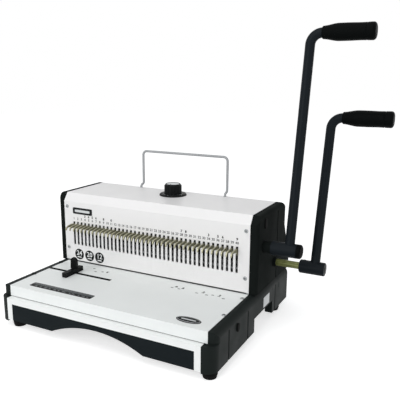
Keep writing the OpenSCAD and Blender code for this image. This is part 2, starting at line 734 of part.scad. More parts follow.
// Rack teeth point at the gear: one tooth faces the shaft at rest
rack_pitch = PI * gear_m;
rack_half = (rack_pitch - backlash) / 4;
rack_teeth = [-2 : ceil(rake_travel / rack_pitch) + 2];
rack_root_y = rack_y - 1.25 * gear_m;
rack_low_z = opener_z - 2.5 * rack_pitch;
rack_top_z = opener_z + (ceil(rake_travel / rack_pitch) + 2.5) * rack_pitch;
module rack_tooth(z) polygon([
  [rack_root_y - 0.1, z - rack_half - 1.25 * gear_m * tan(20)],
  [rack_y + gear_m, z - rack_half + gear_m * tan(20)],
  [rack_y + gear_m, z + rack_half - gear_m * tan(20)],
  [rack_root_y - 0.1, z + rack_half + 1.25 * gear_m * tan(20)]]);

// Arms from the rake to the racks, with the bosses that run on the rods
module rake_arms() color("silver") both_sides() difference() {
  union() {
    side_view(gear_x, gear_x + gear_t) {
      translate([rake_back_y, arm_low_z]) square([rack_root_y - rake_back_y, arm_top_z - arm_low_z]);
      translate([rack_root_y - 7, rack_low_z]) square([7, rack_top_z - rack_low_z]);
      for (i = rack_teeth) rack_tooth(opener_z + i * rack_pitch);
    }
    translate([arm_mid_x, rod_y, 0]) rod_z(rod_r + 4.6, rake_low_z, arm_top_z + 4);
  }
  translate([arm_mid_x, rod_y, 0]) rod_z(rod_r + fit, rake_low_z - 1, arm_top_z + 5);
}

// One hook for each slot: a neck through the panel, an arched back and a tip that turns down
hook_top_z = arm_top_z + 8.7;
hook_outline = [[rake_front_y, hook_top_z - 13], [-3, hook_top_z - 8], [-7, hook_top_z - 5.8],
  [6 - hook_l, hook_top_z - 4.6], [3 - hook_l, hook_top_z - 6.2], [1.5 - hook_l, hook_top_z - 9],
  [0.3 - hook_l, hook_top_z - 8.4], [-hook_l, hook_top_z - 5.4], [1.8 - hook_l, hook_top_z - 3],
  [6 - hook_l, hook_top_z - 1.1], [-7, hook_top_z], [rake_front_y, hook_top_z - 1.7]];
module hooks() color("#8f8a68") for (x = slot_xs)
  side_view(x - hook_t / 2, x + hook_t / 2) polygon(hook_outline);

// Knob with finger flutes, turned to raise or lower the rake's top stop
knob_low_z = head_z + dial_t + gap;
flutes = 16;
module size_knob() color("#151717") translate([0, knob_y, 0]) difference() {
  rotate_extrude() polygon([[0, knob_low_z], [knob_r, knob_low_z], [knob_r, knob_low_z + knob_h - 2],
    [knob_r - 2, knob_low_z + knob_h], [0, knob_low_z + knob_h]]);
  for (i = [0 : flutes - 1]) rotate(i * 360 / flutes) translate([knob_r + 0.8, 0, 0])
    rod_z(1.6, knob_low_z + 3, knob_low_z + knob_h + 1);
}
module knob_spindle() color("lightgray") translate([0, knob_y, 0])
  rod_z(spindle_r, nut_low_z - 8, knob_low_z);
module height_nut() color("peru") plan(nut_low_z, nut_low_z + nut_h) difference() {
  translate([-nut_x, tongue_y - 13]) square([2 * nut_x, knob_y + 10 - tongue_y + 13]);
  translate([0, knob_y]) circle(spindle_r + fit);
  translate([0, nut_rod_y]) circle(nut_rod_r + fit);
}

// Fence that squares the sheets, with its clamp above the table and its slider below
module at_guide() translate([-guide_x, -guide_slot_y, table_z]) children();
module edge_guide() color("#151717") at_guide()
  box([-fence_w / 2, -fence_l / 2 - fence_shift, gap],
    [fence_w / 2, fence_l / 2 - fence_shift, gap + fence_h]);
module guide_clamp() color("#1f2222") at_guide()
  front_view(-tab_t / 2, tab_t / 2) polygon([[-tab_w / 2, gap + fence_h], [tab_w / 2, gap + fence_h],
    [tab_w / 2 - 1, gap + fence_h + tab_h - 3], [tab_w / 2 - 4, gap + fence_h + tab_h],
    [4 - tab_w / 2, gap + fence_h + tab_h], [1 - tab_w / 2, gap + fence_h + tab_h - 3]]);
module guide_slider() color("dimgray") at_guide() {
  box([-slider_l / 2, -slider_w / 2, -sheet_t - gap - slider_t],
    [slider_l / 2, slider_w / 2, -sheet_t - gap]);
  box([-4, -slot_gap + gap, -sheet_t - gap], [4, slot_gap - gap, gap]);
}

// Channel under the table that carries the slider
module guide_track() color("#151717") translate([0, -guide_slot_y, table_z - sheet_t]) difference() {
  box([gap - frame_x, -slider_w / 2 - gap - track_t, -track_h],
    [guide_slot_x + guide_slot_l + slider_l / 2 + track_t, slider_w / 2 + gap + track_t, 0]);
  box([-frame_x - 1, -slider_w / 2 - gap, track_t - track_h],
    [guide_slot_x + guide_slot_l + slider_l / 2, slider_w / 2 + gap, 1]);
}

// Tray for the waste, with the bridge that ties it to its front
module waste_tray() color("#2a2c2c") {
  difference() {
    box([-tray_x, tray_front_y, tray_low_z], [tray_x, tray_back_y, tray_top_z]);
    box([-tray_x + wall_t, tray_front_y + wall_t, tray_low_z + wall_t],
      [tray_x - wall_t, tray_back_y - wall_t, tray_top_z + 1]);
  }
  box([-tray_x, tier_y + front_t, bridge_z], [tray_x, tray_front_y, bridge_z + wall_t]);
  both_sides() box([tray_x, tray_front_y, tray_top_z - flange_t], [tray_flange_x, tray_back_y, tray_top_z]);
}
arch_h = arch_z - drawer_low_z;
arch_r = (pow(arch_w / 2, 2) + pow(arch_h, 2)) / (2 * arch_h);
module drawer_front() color("#26292a") front_view(tier_y, tier_y + front_t) difference() {
  translate([-drawer_x, drawer_low_z]) square([2 * drawer_x, opening_z - gap - drawer_low_z]);
  translate([0, arch_z - arch_r]) circle(arch_r, $fn = 180);
}

// Bent wire that stands in the two sleeves: feet, a step backwards, uprights and the top rail
rail_bend_r = 8;
rail_z = head_z + stand_h;
step_r = stand_back / 2;
step_z = head_z + 1.6;
upright_y = socket_y + stand_back;
module wire_bend(r) rotate_extrude(angle = 90) translate([r, 0]) circle(wire_r, $fn = 32);
module side_bend(y, z, from) translate([0, y, z]) rotate([90, 0, 90]) rotate([0, 0, from])
  wire_bend(step_r);
module wire_stand() color("lightgray") {
  both_sides() translate([stand_w / 2, 0, 0]) {
    translate([0, socket_y, 0]) rod_z(wire_r, head_z - socket_d + gap, step_z);
    side_bend(socket_y + step_r, step_z, 90);
    side_bend(socket_y + step_r, step_z + stand_back, 270);
    translate([0, upright_y, 0]) rod_z(wire_r, step_z + stand_back, rail_z - rail_bend_r);
    translate([-rail_bend_r, upright_y, rail_z - rail_bend_r]) rotate([90, 0, 0]) wire_bend(rail_bend_r);
  }
  translate([0, upright_y, rail_z]) rod_x(wire_r, rail_bend_r - stand_w / 2, stand_w / 2 - rail_bend_r);
}

head_panel();
rear_cover();
table_plate();
front_surround();
side_frame_left();
side_frame_right();
head_cover_left();
head_cover_right();
base_cover_left();
base_cover_right();
front_tie();
rear_tie();
top_beam();
die_bed();
die_plate();
throat_spacers();
paper_stop();
pin_guide();
press_gibs();
press_springs();
punch_bushes();
opener_bushes();
rake_rods();
nut_rod();
spindle_bush();
dial_plate();
stand_sockets();
drawer_runners();
front_feet();
rear_feet();
panel_screws();
table_screws();
cover_screws();
punch_shaft();
punch_cams();
punch_hub();
punch_hub_cap();
punch_lever();
punch_grip();
press_bar();
punch_pins();
opener_shaft();
opener_gears();
opener_hub();
opener_lever();
opener_grip();
rake_bar();
rake_arms();
hooks();
size_knob();
knob_spindle();
height_nut();
edge_guide();
guide_slider();
guide_track();
guide_clamp();
waste_tray();
drawer_front();
wire_stand();
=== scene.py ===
# %% [markdown]
# A desk machine for punching and comb binding, dressed from its solids.
# The solids already hold every plate, lever, shaft and hook in its true place, so this lesson only
# adds what solids can't show: finishes, printed marks, smooth grips and hooks, and wound springs.

# %% Load the solids
import json

import bmesh
import bpy
import numpy as np
from mathutils import Matrix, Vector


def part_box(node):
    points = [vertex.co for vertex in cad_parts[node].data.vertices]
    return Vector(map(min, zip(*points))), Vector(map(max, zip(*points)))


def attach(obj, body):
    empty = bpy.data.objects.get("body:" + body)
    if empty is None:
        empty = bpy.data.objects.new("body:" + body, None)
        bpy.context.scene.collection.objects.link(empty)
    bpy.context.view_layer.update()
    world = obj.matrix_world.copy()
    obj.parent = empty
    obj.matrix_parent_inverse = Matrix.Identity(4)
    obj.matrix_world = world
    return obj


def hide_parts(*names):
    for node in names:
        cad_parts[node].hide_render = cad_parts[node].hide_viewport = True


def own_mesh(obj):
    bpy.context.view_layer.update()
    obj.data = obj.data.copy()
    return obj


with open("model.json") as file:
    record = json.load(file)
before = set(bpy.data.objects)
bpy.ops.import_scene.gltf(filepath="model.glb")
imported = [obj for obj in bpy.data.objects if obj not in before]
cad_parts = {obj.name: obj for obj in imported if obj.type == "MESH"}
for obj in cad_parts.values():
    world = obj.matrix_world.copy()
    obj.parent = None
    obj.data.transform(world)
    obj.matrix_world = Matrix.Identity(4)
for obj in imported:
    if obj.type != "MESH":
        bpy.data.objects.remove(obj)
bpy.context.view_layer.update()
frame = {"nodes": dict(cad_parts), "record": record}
nodes = frame["nodes"]
record = frame["record"]
joints = {joint["name"]: joint for joint in record["behaviour"]["joints"]}
MM = 0.001

# %% [markdown]
# The photograph was taken from the right of the table, a little above the head. A camera is a
# place and three directions: right, up and back. They come from the azimuth, the elevation and a
# small roll, and the lens from the focal length in pixels on a frame 400 pixels wide.

# %% Camera
CAMERA_PLACE = (0.4846, -0.7601, 0.4075)
FOCAL_PIXELS = 537.53
FRAME_PIXELS = 400
SENSOR_WIDTH = 36.0


def standing(right, up, back, place):
    """A world matrix: its columns are the directions right, up and back, and the place."""
    return Matrix(np.vstack([np.column_stack([right, up, back, place]), [0, 0, 0, 1]]).tolist())


azimuth, elevation, roll = np.radians([26.95, 12.51, 0.41])
level = np.array([np.cos(azimuth), np.sin(azimuth), 0.0])
behind = np.array([np.sin(azimuth), -np.cos(azimuth), 0.0])
back = behind * np.cos(elevation) + [0.0, 0.0, np.sin(elevation)]
upright = np.cross(back, level)
right = level * np.cos(roll) + upright * np.sin(roll)
upward = upright * np.cos(roll) - level * np.sin(roll)
lens_data = bpy.data.cameras.new("photo_camera")
lens_data.sensor_width = SENSOR_WIDTH
lens_data.lens = FOCAL_PIXELS / FRAME_PIXELS * SENSOR_WIDTH
camera = bpy.data.objects.new("photo_camera", lens_data)
camera.matrix_world = standing(right, upward, back, CAMERA_PLACE)
bpy.context.scene.collection.objects.link(camera)
bpy.context.scene.camera = camera
bpy.context.scene.view_settings.view_transform = "Standard"
print("lens", round(lens_data.lens, 2), "mm")

# %% [markdown]
# A white studio: the world looks white to the camera and in reflections, but lights the machine
# only softly. One world could not do both by strength alone, so the kind of ray chooses between a
# white background and a weaker one.

# %% World
SKY_TONE = (0.97, 0.985, 1.0, 1.0)
SKY_STRENGTH = 0.42
WHITE = (1.0, 1.0, 1.0, 1.0)


def seen_directly(tree):
    """1 for camera, glossy and transmission rays, 0 for the rays that light the scene."""
    path = tree.nodes.new("ShaderNodeLightPath")
    either = tree.nodes.new("ShaderNodeMath")
    either.operation = "MAXIMUM"
    tree.links.new(path.outputs["Is Camera Ray"], either.inputs[0])
    tree.links.new(path.outputs["Is Glossy Ray"], either.inputs[1])
    any_ray = tree.nodes.new("ShaderNodeMath")
    any_ray.operation = "MAXIMUM"
    tree.links.new(either.outputs[0], any_ray.inputs[0])
    tree.links.new(path.outputs["Is Transmission Ray"], any_ray.inputs[1])
    return any_ray.outputs[0]


def background(tree, colour, strength):
    """A background shader of one colour and strength."""
    made = tree.nodes.new("ShaderNodeBackground")
    made.inputs["Color"].default_value = colour
    made.inputs["Strength"].default_value = strength
    return made.outputs[0]


world = bpy.data.worlds.new("studio")
bpy.context.scene.world = world
world.use_nodes = True
studio = world.node_tree
studio.nodes.clear()
either_side = studio.nodes.new("ShaderNodeMixShader")
world_out = studio.nodes.new("ShaderNodeOutputWorld")
studio.links.new(seen_directly(studio), either_side.inputs[0])
studio.links.new(background(studio, SKY_TONE, SKY_STRENGTH), either_side.inputs[1])
studio.links.new(background(studio, WHITE, 1.0), either_side.inputs[2])
studio.links.new(either_side.outputs[0], world_out.inputs[0])
print("sky strength", SKY_STRENGTH)

# %% [markdown]
# Three square lamps. A large one stands in front, because on the photograph the panel that faces
# forward is brighter than the top. A weaker one fills the lever side, and one above lifts the table.

# %% Lamps
MACHINE_MIDDLE = (0.02, 0.0, 0.12)
TABLE_MIDDLE = (0.0, -0.12, 0.07)


def softbox(name, place, aim, size, watts):
    """A square lamp at place whose light leaves along the line from place to aim."""
    data = bpy.data.lights.new(name, "AREA")
    data.shape = "SQUARE"
    data.size = size
    data.energy = watts
    lamp = bpy.data.objects.new(name, data)
    away = np.array(place, float) - np.array(aim, float)
    away /= np.linalg.norm(away)
    side = np.cross([0.0, 0.0, 1.0], away)
    side /= np.linalg.norm(side)
    lamp.matrix_world = standing(side, np.cross(away, side), away, place)
    bpy.context.scene.collection.objects.link(lamp)
    print(name, watts, "W")


softbox("front_softbox", (-0.55, -2.1, 1.0), MACHINE_MIDDLE, 1.6, 19.5)
softbox("side_softbox", (1.9, -0.8, 0.4), MACHINE_MIDDLE, 1.2, 5.5)
softbox("top_softbox", (0.0, -0.6, 1.5), TABLE_MIDDLE, 1.0, 6.5)

# %% [markdown]
# Every new piece is a surface worked out as whole arrays and given to a mesh in one go. Shading is
# smooth, except where faces meet at more than a given angle, so that real corners stay crisp. A
# piece rides on the body it belongs to, and moves with it.

# %% Make a piece
def piece(name, verts, faces, body, material, slot, sharp=35.0):
    """Makes a mesh object from vertex and face arrays and lets it ride on a body, if it has one."""
    mesh = bpy.data.meshes.new(name)
    mesh.from_pydata(np.asarray(verts, float).tolist(), [], [list(map(int, f)) for f in faces])
    work = bmesh.new()
    work.from_mesh(mesh)
    bmesh.ops.recalc_face_normals(work, faces=work.faces)
    work.to_mesh(mesh)
    work.free()
    mesh.shade_smooth()
    mesh.set_sharp_from_angle(angle=np.radians(sharp))
    mesh.materials.append(material)
    made = bpy.data.objects.new(name, mesh)
    bpy.context.scene.collection.objects.link(made)
    if body:
        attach(made, body)
    return made


# %% [markdown]
# Round and plate-like pieces are stacks of rings. All rings have the same number of points, so quads
# join each to the next, and a fan of triangles closes each end. Turned pieces are the plain case:
# circles about a line along the machine's length.

# %% Stacks of rings
def ring_faces(count, points):
    """Quads between count rings of points vertices each, and a fan onto a pole at each end."""
    j = np.arange(points)
    k = (j + 1) % points
    starts = np.arange(count - 1)[:, None] * points
    low, beside = (starts + j).ravel(), (starts + k).ravel()
    quads = np.column_stack([low, beside, beside + points, low + points])
    top = (count - 1) * points
    first = np.column_stack([k, j, np.full(points, count * points)])
    last = np.column_stack([top + j, top + k, np.full(points, count * points + 1)])
    return [*quads, *first, *last]


def stack(rings):
    """A closed solid from rings (count, points, 3): its poles are the means of the end rings."""
    count, points = rings.shape[:2]
    verts = np.vstack([rings.reshape(-1, 3), rings[0].mean(0), rings[-1].mean(0)])
    return verts, ring_faces(count, points)


def turned(axis, pairs, points=48):
    """A solid turned about a line along X through axis (y, z): each pair is a place along X and a
    radius, and its ring is (x, y + r cos t, z + r sin t)."""
    x, r = np.asarray(pairs, float).T[:, :, None]
    t = np.linspace(0, 2 * np.pi, points, endpoint=False)
    y, z = axis[0] + r * np.cos(t), axis[1] + r * np.sin(t)
    return stack(np.stack([np.broadcast_to(x, y.shape), y, z], -1))


def joined(parts):
    """One vertex and face list from several, with each part's indices moved past the last."""
    starts = np.cumsum([0] + [len(v) for v, f in parts[:-1]])
    faces = [np.asarray(q) + start for (v, f), start in zip(parts, starts) for q in f]
    return np.vstack([v for v, f in parts]), faces


print("faces of three rings of eight points", len(ring_faces(3, 8)))

# %% [markdown]
# Plates and marks lie on flat faces of the machine. A face has an origin and directions across, up
# and out, so each mark is drawn flat and carried there. A plate's outline is a superellipse: power 2
# is an ellipse, and a higher power a rectangle with round corners, so one formula serves them all.

# %% Faces and plates
class Face:
    """A flat place on the machine: an origin, a direction across, one up, and the normal out."""

    def __init__(self, origin, across, up):
        self.origin, self.across, self.up = (np.array(a, float) for a in (origin, across, up))
        self.out = np.cross(self.across, self.up)

    def at(self, u, v, w=0.0):
        """The point u across, v up and w out, for whole arrays."""
        u, v, w = np.broadcast_arrays(np.asarray(u, float), v, w)
        return self.origin + u[..., None] * self.across + v[..., None] * self.up + w[..., None] * self.out


def rounded_plate(face, centre, half, power, profile, points=64):
    """A plate on a face: its outline is a superellipse |x/a|^p + |y/b|^p = 1, and each pair in
    profile is an inset from that outline and a height above the face."""
    t = np.linspace(0, 2 * np.pi, points, endpoint=False)
    circle = np.column_stack([np.cos(t), np.sin(t)])
    unit = np.sign(circle) * np.abs(circle) ** (2 / power)
    rings = [face.at(*(centre + unit * (np.array(half) - inset)).T, height) for inset, height in profile]
    return stack(np.array(rings))


def round_plate(face, centre, radius, profile, points=64):
    """A plate with a circle as its outline."""
    return rounded_plate(face, centre, (radius, radius), 2, profile, points)


desk = Face((0, 0, 0), (1, 0, 0), (0, 1, 0))
print("a face on the desk looks along", desk.out)

# %% [markdown]
# Printed lines and ticks are thin boxes, made many at a time. Printed numbers start as text, which
# becomes a mesh before it is placed, because only a mesh can be carried onto a face as an array.

# %% Bars and numerals
SIZE_PER_HEIGHT = 1.4


def bars(face, centres, halves, low, high, turn=0.0):
    """Thin boxes on a face, all at once: the eight corners of each are its centre plus or minus its
    half width and half height, turned in the face, at the heights low and high."""
    centres = np.atleast_2d(centres).astype(float)
    halves = np.broadcast_to(np.asarray(halves, float), centres.shape)
    turn = np.broadcast_to(np.asarray(turn, float), len(centres))
    sign = np.array([[-1, -1], [1, -1], [1, 1], [-1, 1]], float)
    local = halves[:, None, :] * sign[None]
    c, s = np.cos(turn)[:, None], np.sin(turn)[:, None]
    u = centres[:, :1] + local[..., 0] * c - local[..., 1] * s
    v = centres[:, 1:] + local[..., 0] * s + local[..., 1] * c
    verts = np.concatenate([face.at(u, v, low), face.at(u, v, high)], axis=1).reshape(-1, 3)
    box = np.array([[0, 3, 2, 1], [4, 5, 6, 7], [0, 1, 5, 4], [1, 2, 6, 5], [2, 3, 7, 6], [3, 0, 4, 7]])
    return verts, list((np.arange(len(centres))[:, None, None] * 8 + box[None]).reshape(-1, 4))


def numerals(face, words, places, height, low, high, weight=0.0):
    """Printed numbers: each word is a text curve turned into a mesh, centred on its place. Weight
    thickens the strokes, as a share of the height."""
    parts = []
    for word, (u, v) in zip(words, places):
        curve = bpy.data.curves.new("numeral", "FONT")
        curve.body = word
        curve.size = height * SIZE_PER_HEIGHT
        curve.align_x, curve.align_y = "CENTER", "CENTER"
        curve.resolution_u = 2
        curve.offset = height * weight
        curve.extrude = (high - low) / 2
        holder = bpy.data.objects.new("numeral", curve)
        bpy.context.scene.collection.objects.link(holder)
        drawn = holder.evaluated_get(bpy.context.evaluated_depsgraph_get())
        flat = bpy.data.meshes.new_from_object(drawn)
        xyz = np.empty(len(flat.vertices) * 3)
        flat.vertices.foreach_get("co", xyz)
        x, y, z = xyz.reshape(-1, 3).T
        faces = [list(p.vertices) for p in flat.polygons]
        parts.append((face.at(u + x, v + y, z + (low + high) / 2), faces))
        bpy.data.objects.remove(holder)
        bpy.data.curves.remove(curve)
        bpy.data.meshes.remove(flat)
    return joined(parts)


def row(across, up):
    """Places in a row: the array across, all at the one height up."""
    return np.column_stack([across, np.full(len(across), up)])


print("corners of one bar", len(bars(desk, [(0, 0)], (MM, MM), 0, MM)[0]))

# %% [markdown]
# Finishes. Real surfaces are never one flat colour: powder coat has a fine orange peel and slow
# drifts in tone, moulded plastic a tight grain, plated steel streaks. Three shared groups make
# these, and each material places them with its own values. The shader stays in the material.

# %% Shared finish groups
def group(name, ins, outs):
    """An empty shader group with float, colour and vector sockets, by name and kind."""
    tree = bpy.data.node_groups.new(name, "ShaderNodeTree")
    for label, kind, value in ins:
        made = tree.interface.new_socket(label, in_out="INPUT", socket_type="NodeSocket" + kind)
        if value is not None:
            made.default_value = value
    for label, kind in outs:
        tree.interface.new_socket(label, in_out="OUTPUT", socket_type="NodeSocket" + kind)
    return tree, tree.nodes.new("NodeGroupInput"), tree.nodes.new("NodeGroupOutput")


def noise(tree, vector, scale, detail=3.0):
    """A noise texture fed by a vector and by a scale socket."""
    made = tree.nodes.new("ShaderNodeTexNoise")
    made.inputs["Detail"].default_value = detail
    tree.links.new(vector, made.inputs["Vector"])
    tree.links.new(scale, made.inputs["Scale"])
    return made.outputs["Fac"]


def remap(tree, value, to_low, to_high, low=0.35, high=0.65):
    """value carried from low..high to to_low..to_high; the ends may be sockets or numbers."""
    made = tree.nodes.new("ShaderNodeMapRange")
    tree.links.new(value, made.inputs["Value"])
    for label, end in (("From Min", low), ("From Max", high), ("To Min", to_low), ("To Max", to_high)):
        if isinstance(end, (int, float)):
            made.inputs[label].default_value = end
        else:
            tree.links.new(end, made.inputs[label])
    return made.outputs["Result"]


mottle, m_in, m_out = group("tone_drift", [("Vector", "Vector", None), ("Tone", "Color", None),
                                           ("Second tone", "Color", None), ("Scale", "Float", 14.0),
                                           ("Amount", "Float", 0.3)], [("Color", "Color")])
slow_noise = noise(mottle, m_in.outputs["Vector"], m_in.outputs["Scale"])
blend_tone = mottle.nodes.new("ShaderNodeMix")
blend_tone.data_type = "RGBA"
mottle.links.new(remap(mottle, slow_noise, 0.0, m_in.outputs["Amount"]), blend_tone.inputs["Factor"])
mottle.links.new(m_in.outputs["Tone"], blend_tone.inputs["A"])
mottle.links.new(m_in.outputs["Second tone"], blend_tone.inputs["B"])
mottle.links.new(blend_tone.outputs["Result"], m_out.inputs["Color"])

peel, p_in, p_out = group("surface_grain", [("Vector", "Vector", None), ("Scale", "Float", 900.0)],
                          [("Height", "Float")])
fine_noise = noise(peel, p_in.outputs["Vector"], p_in.outputs["Scale"], 2.0)
peel.links.new(fine_noise, p_out.inputs["Height"])

handled, h_in, h_out = group("handled_gloss", [("Vector", "Vector", None), ("Scale", "Float", 22.0),
                                               ("Low", "Float", 0.35), ("High", "Float", 0.5)],
                             [("Roughness", "Float")])
touch_noise = noise(handled, h_in.outputs["Vector"], h_in.outputs["Scale"], 4.0)
touched = remap(handled, touch_noise, h_in.outputs["Low"], h_in.outputs["High"])
handled.links.new(touched, h_out.inputs["Roughness"])
print("groups", [g.name for g in bpy.data.node_groups])

# %% [markdown]
# One function makes every material: two tones that drift into each other, a range of roughness, and
# grain as a bump. It reads Object coordinates, so a pattern stays on its piece when the piece moves.

# %% Finish maker
BUMP_STRENGTH = 0.35


def tone(code):
    """A colour written as six hexadecimal digits, in linear light: ((s + 0.055) / 1.055) ** 2.4."""
    s = np.array([int(code[i:i + 2], 16) for i in (0, 2, 4)]) / 255
    return tuple(np.where(s <= 0.04045, s / 12.92, ((s + 0.055) / 1.055) ** 2.4)) + (1.0,)


def finish(name, first, second, gloss, metal=0.0, drift_scale=14.0, drift_amount=0.35, grain=900.0,
           depth=0.02, stretch=(1.0, 1.0, 1.0), specular=0.5):
    """A Principled material: tone drift into the colour, handling into the roughness, and grain as
    a bump. Stretch squeezes the pattern along an axis, which turns grain into brushed streaks."""
    made = bpy.data.materials.new(name)
    made.use_nodes = True
    tree = made.node_tree
    shader = tree.nodes["Principled BSDF"]
    place = tree.nodes.new("ShaderNodeTexCoord")
    spread = tree.nodes.new("ShaderNodeMapping")
    spread.inputs["Scale"].default_value = stretch
    tree.links.new(place.outputs["Object"], spread.inputs["Vector"])
    used = {}
    for source, values in ((mottle, {"Tone": tone(first), "Second tone": tone(second),
                                     "Scale": drift_scale, "Amount": drift_amount}),
                           (peel, {"Scale": grain}),
                           (handled, {"Low": gloss[0], "High": gloss[1]})):
        used[source.name] = tree.nodes.new("ShaderNodeGroup")
        used[source.name].node_tree = source
        tree.links.new(spread.outputs["Vector"], used[source.name].inputs["Vector"])
        for label, value in values.items():
            used[source.name].inputs[label].default_value = value
    bump = tree.nodes.new("ShaderNodeBump")
    bump.inputs["Strength"].default_value = BUMP_STRENGTH
    bump.inputs["Distance"].default_value = depth * MM
    tree.links.new(used["surface_grain"].outputs["Height"], bump.inputs["Height"])
    tree.links.new(bump.outputs["Normal"], shader.inputs["Normal"])
    tree.links.new(used["tone_drift"].outputs["Color"], shader.inputs["Base Color"])
    tree.links.new(used["handled_gloss"].outputs["Roughness"], shader.inputs["Roughness"])
    shader.inputs["Metallic"].default_value = metal
    shader.inputs["Specular IOR Level"].default_value = specular
    return made


print("white in linear light", tone("ffffff"))

# %% [markdown]
# The sheets are powder coated, with a fine orange peel. The head, the front and the table differ a
# little in tone on the photograph, so each has a coat of its own; the front's is a lighter copy of the
# white, painted light for the light that falls on it. The levers are enamelled tubes.

# %% Coats
white_coat = finish("white_powder_coat", "edecec", "e6e6e5", (0.34, 0.44), grain=700, depth=0.03)
# The front's coat is the white coat made lighter: painted light.
front_coat_painted_light = finish("front_coat_with_painted_light", "f4f6f5", "eef0ef", (0.34, 0.44), grain=700, depth=0.03)
table_coat = finish("table_powder_coat", "f0f3f2", "e8ebea", (0.38, 0.5), grain=700, depth=0.04)
lever_black = finish("lever_enamel", "191e22", "14181c", (0.34, 0.44), grain=500, depth=0.02, specular=0.05)
print("coats", white_coat.name, front_coat_painted_light.name, table_coat.name, lever_black.name)

# %% [markdown]
# The ends, the drawer, the grips and the small fittings are moulded in black plastic with a tight
# grain. Black shows every reflection of the white studio, so their specular level is kept low.

# %% Plastics and rubber
cover_black = finish("black_cover_plastic", "141817", "0f1211", (0.78, 0.9), grain=1400, depth=0.06,
                     specular=0.05)
base_black = finish("base_cover_plastic", "1d2221", "171b1a", (0.42, 0.54), grain=1400, depth=0.06,
                    specular=0.05)
drawer_black = finish("drawer_plastic", "161c1f", "101619", (0.45, 0.6), grain=1300, depth=0.05,
                      specular=0.05)
fitting_black = finish("fitting_plastic", "0e1010", "0a0b0b", (0.35, 0.5), grain=1500, depth=0.03,
                       specular=0.1)
grip_black = finish("grip_plastic", "0a0c0c", "070909", (0.4, 0.52), grain=1200, depth=0.04,
                    specular=0.02)
rubber = finish("foot_rubber", "0d0d0d", "090909", (0.7, 0.85), grain=1100, depth=0.08, specular=0.1)
print("plastics", cover_black.name, base_black.name, drawer_black.name, grip_black.name)

# %% [markdown]
# Bare metal. Ground and turned steel have streaks along one direction, which a stretched pattern
# gives. The hooks are zinc plated and bright on their edges; their flanks get a darker copy of the
# zinc, painted shade for the little light that reaches between the hooks. The lower shaft is olive.
# The wire looks satin on the photograph, so it is hardly metallic here.

# %% Metals
plated = finish("plated_sheet", "b9bcbd", "9fa3a5", (0.3, 0.45), metal=1.0, drift_scale=30, grain=600)
ground = finish("ground_tool_steel", "8c9093", "74787b", (0.28, 0.42), metal=1.0,
                stretch=(1.0, 12.0, 12.0), grain=300)
bright = finish("bright_steel", "c4c6c6", "a9acad", (0.2, 0.34), metal=1.0, stretch=(8.0, 1.0, 1.0),
                grain=400)
oiled = finish("oiled_spring_steel", "55585a", "3d4042", (0.25, 0.4), metal=1.0, grain=500)
black_steel = finish("blackened_steel", "1c1d1e", "141516", (0.45, 0.6), metal=0.3, grain=800,
                     specular=0.3)
screw_grey = finish("screw_steel", "a0a3a4", "8b8e8f", (0.34, 0.46), metal=1.0, grain=400)
bronze = finish("plain_bronze", "b08a55", "947043", (0.3, 0.45), metal=1.0, grain=600)
zinc = finish("yellow_zinc", "b9b69d", "95927a", (0.3, 0.42), metal=0.85, drift_scale=60,
              drift_amount=0.8, grain=700, specular=0.3)
# The flanks' zinc is a darker copy of the hook zinc: painted shade between the hooks.
zinc_flank_shade = finish("zinc_flank_painted_shade", "8b8973", "67654f", (0.45, 0.6), metal=0.3, drift_scale=60,
                    drift_amount=0.8, grain=700, specular=0.2)
olive_zinc = finish("olive_zinc", "868b55", "5d6236", (0.3, 0.45), metal=0.35, drift_scale=50,
                    drift_amount=0.8, grain=500, specular=0.35)
chrome = finish("bright_wire", "a9abad", "97999b", (0.3, 0.4), metal=0.05, grain=300, depth=0.01,
                specular=0.1)
print("metals", plated.name, ground.name, zinc.name, chrome.name)

# %% [markdown]
# Printing inks are matt and nearly without grain, and the labels are a foil with a slight sheen. The
# insides of slots, slits, grooves, screw wells and screw heads share one dark material: painted shade,
# for the little light that reaches into them.

# %% Inks and labels
ink_black = finish("printed_black", "101213", "16191a", (0.45, 0.6), depth=0.01, specular=0.15)
ink_grey = finish("printed_grey", "36393a", "424546", (0.45, 0.6), depth=0.01)
ink_white = finish("printed_white", "eceeee", "e0e3e3", (0.4, 0.55), depth=0.01)
foil = finish("label_foil", "cfd2d3", "c2c6c7", (0.3, 0.45), metal=0.15, grain=500, depth=0.01)
strip_grey = finish("strip_grey", "5d6162", "6d7172", (0.4, 0.55), depth=0.01, specular=0.2)
# Dark material for the insides of slots and hollows: painted shade.
recess_shade = finish("painted_recess_shade", "0a0b0b", "0f1010", (0.7, 0.85), grain=700, specular=0.1)
print("inks", ink_black.name, ink_grey.name, ink_white.name, foil.name)

# %% [markdown]
# Each solid names the slot of its material, so one table from slot to finish dresses them all. A
# few solids that share a slot look different on the photograph and get their own finish after it.

# %% Dress the solids
by_slot = {"white_paint": white_coat, "table_paint": table_coat, "cover_plastic": cover_black,
           "drawer_plastic": drawer_black, "fitting_plastic": fitting_black, "frame_steel": plated,
           "tool_steel": ground, "bright_steel": bright, "spring_steel": oiled,
           "black_steel": black_steel, "bronze": bronze, "yellow_zinc": zinc,
           "lever_paint": lever_black, "grip_plastic": grip_black, "foot_rubber": rubber,
           "wire_chrome": chrome}
for sub in record["subparts"]:
    solid = nodes[sub["node"]]
    solid.data.materials.clear()
    solid.data.materials.append(by_slot[sub["material_slot"]])
# The front surround gets the lighter white coat: painted light.
own_finish = {"opener_shaft": olive_zinc, "front_surround": front_coat_painted_light, "base_cover_left": base_black,
              "base_cover_right": base_black, "panel_screws": screw_grey, "table_screws": screw_grey}
for node, material in own_finish.items():
    nodes[node].data.materials[0] = material
print("slots", len(by_slot), "own finishes", len(own_finish))

# %% [markdown]
# The floor is a pale disc. To the camera and in reflections it glows, a little more with the distance
# from the machine, so that it runs into the white world while a soft shadow under the machine stays.

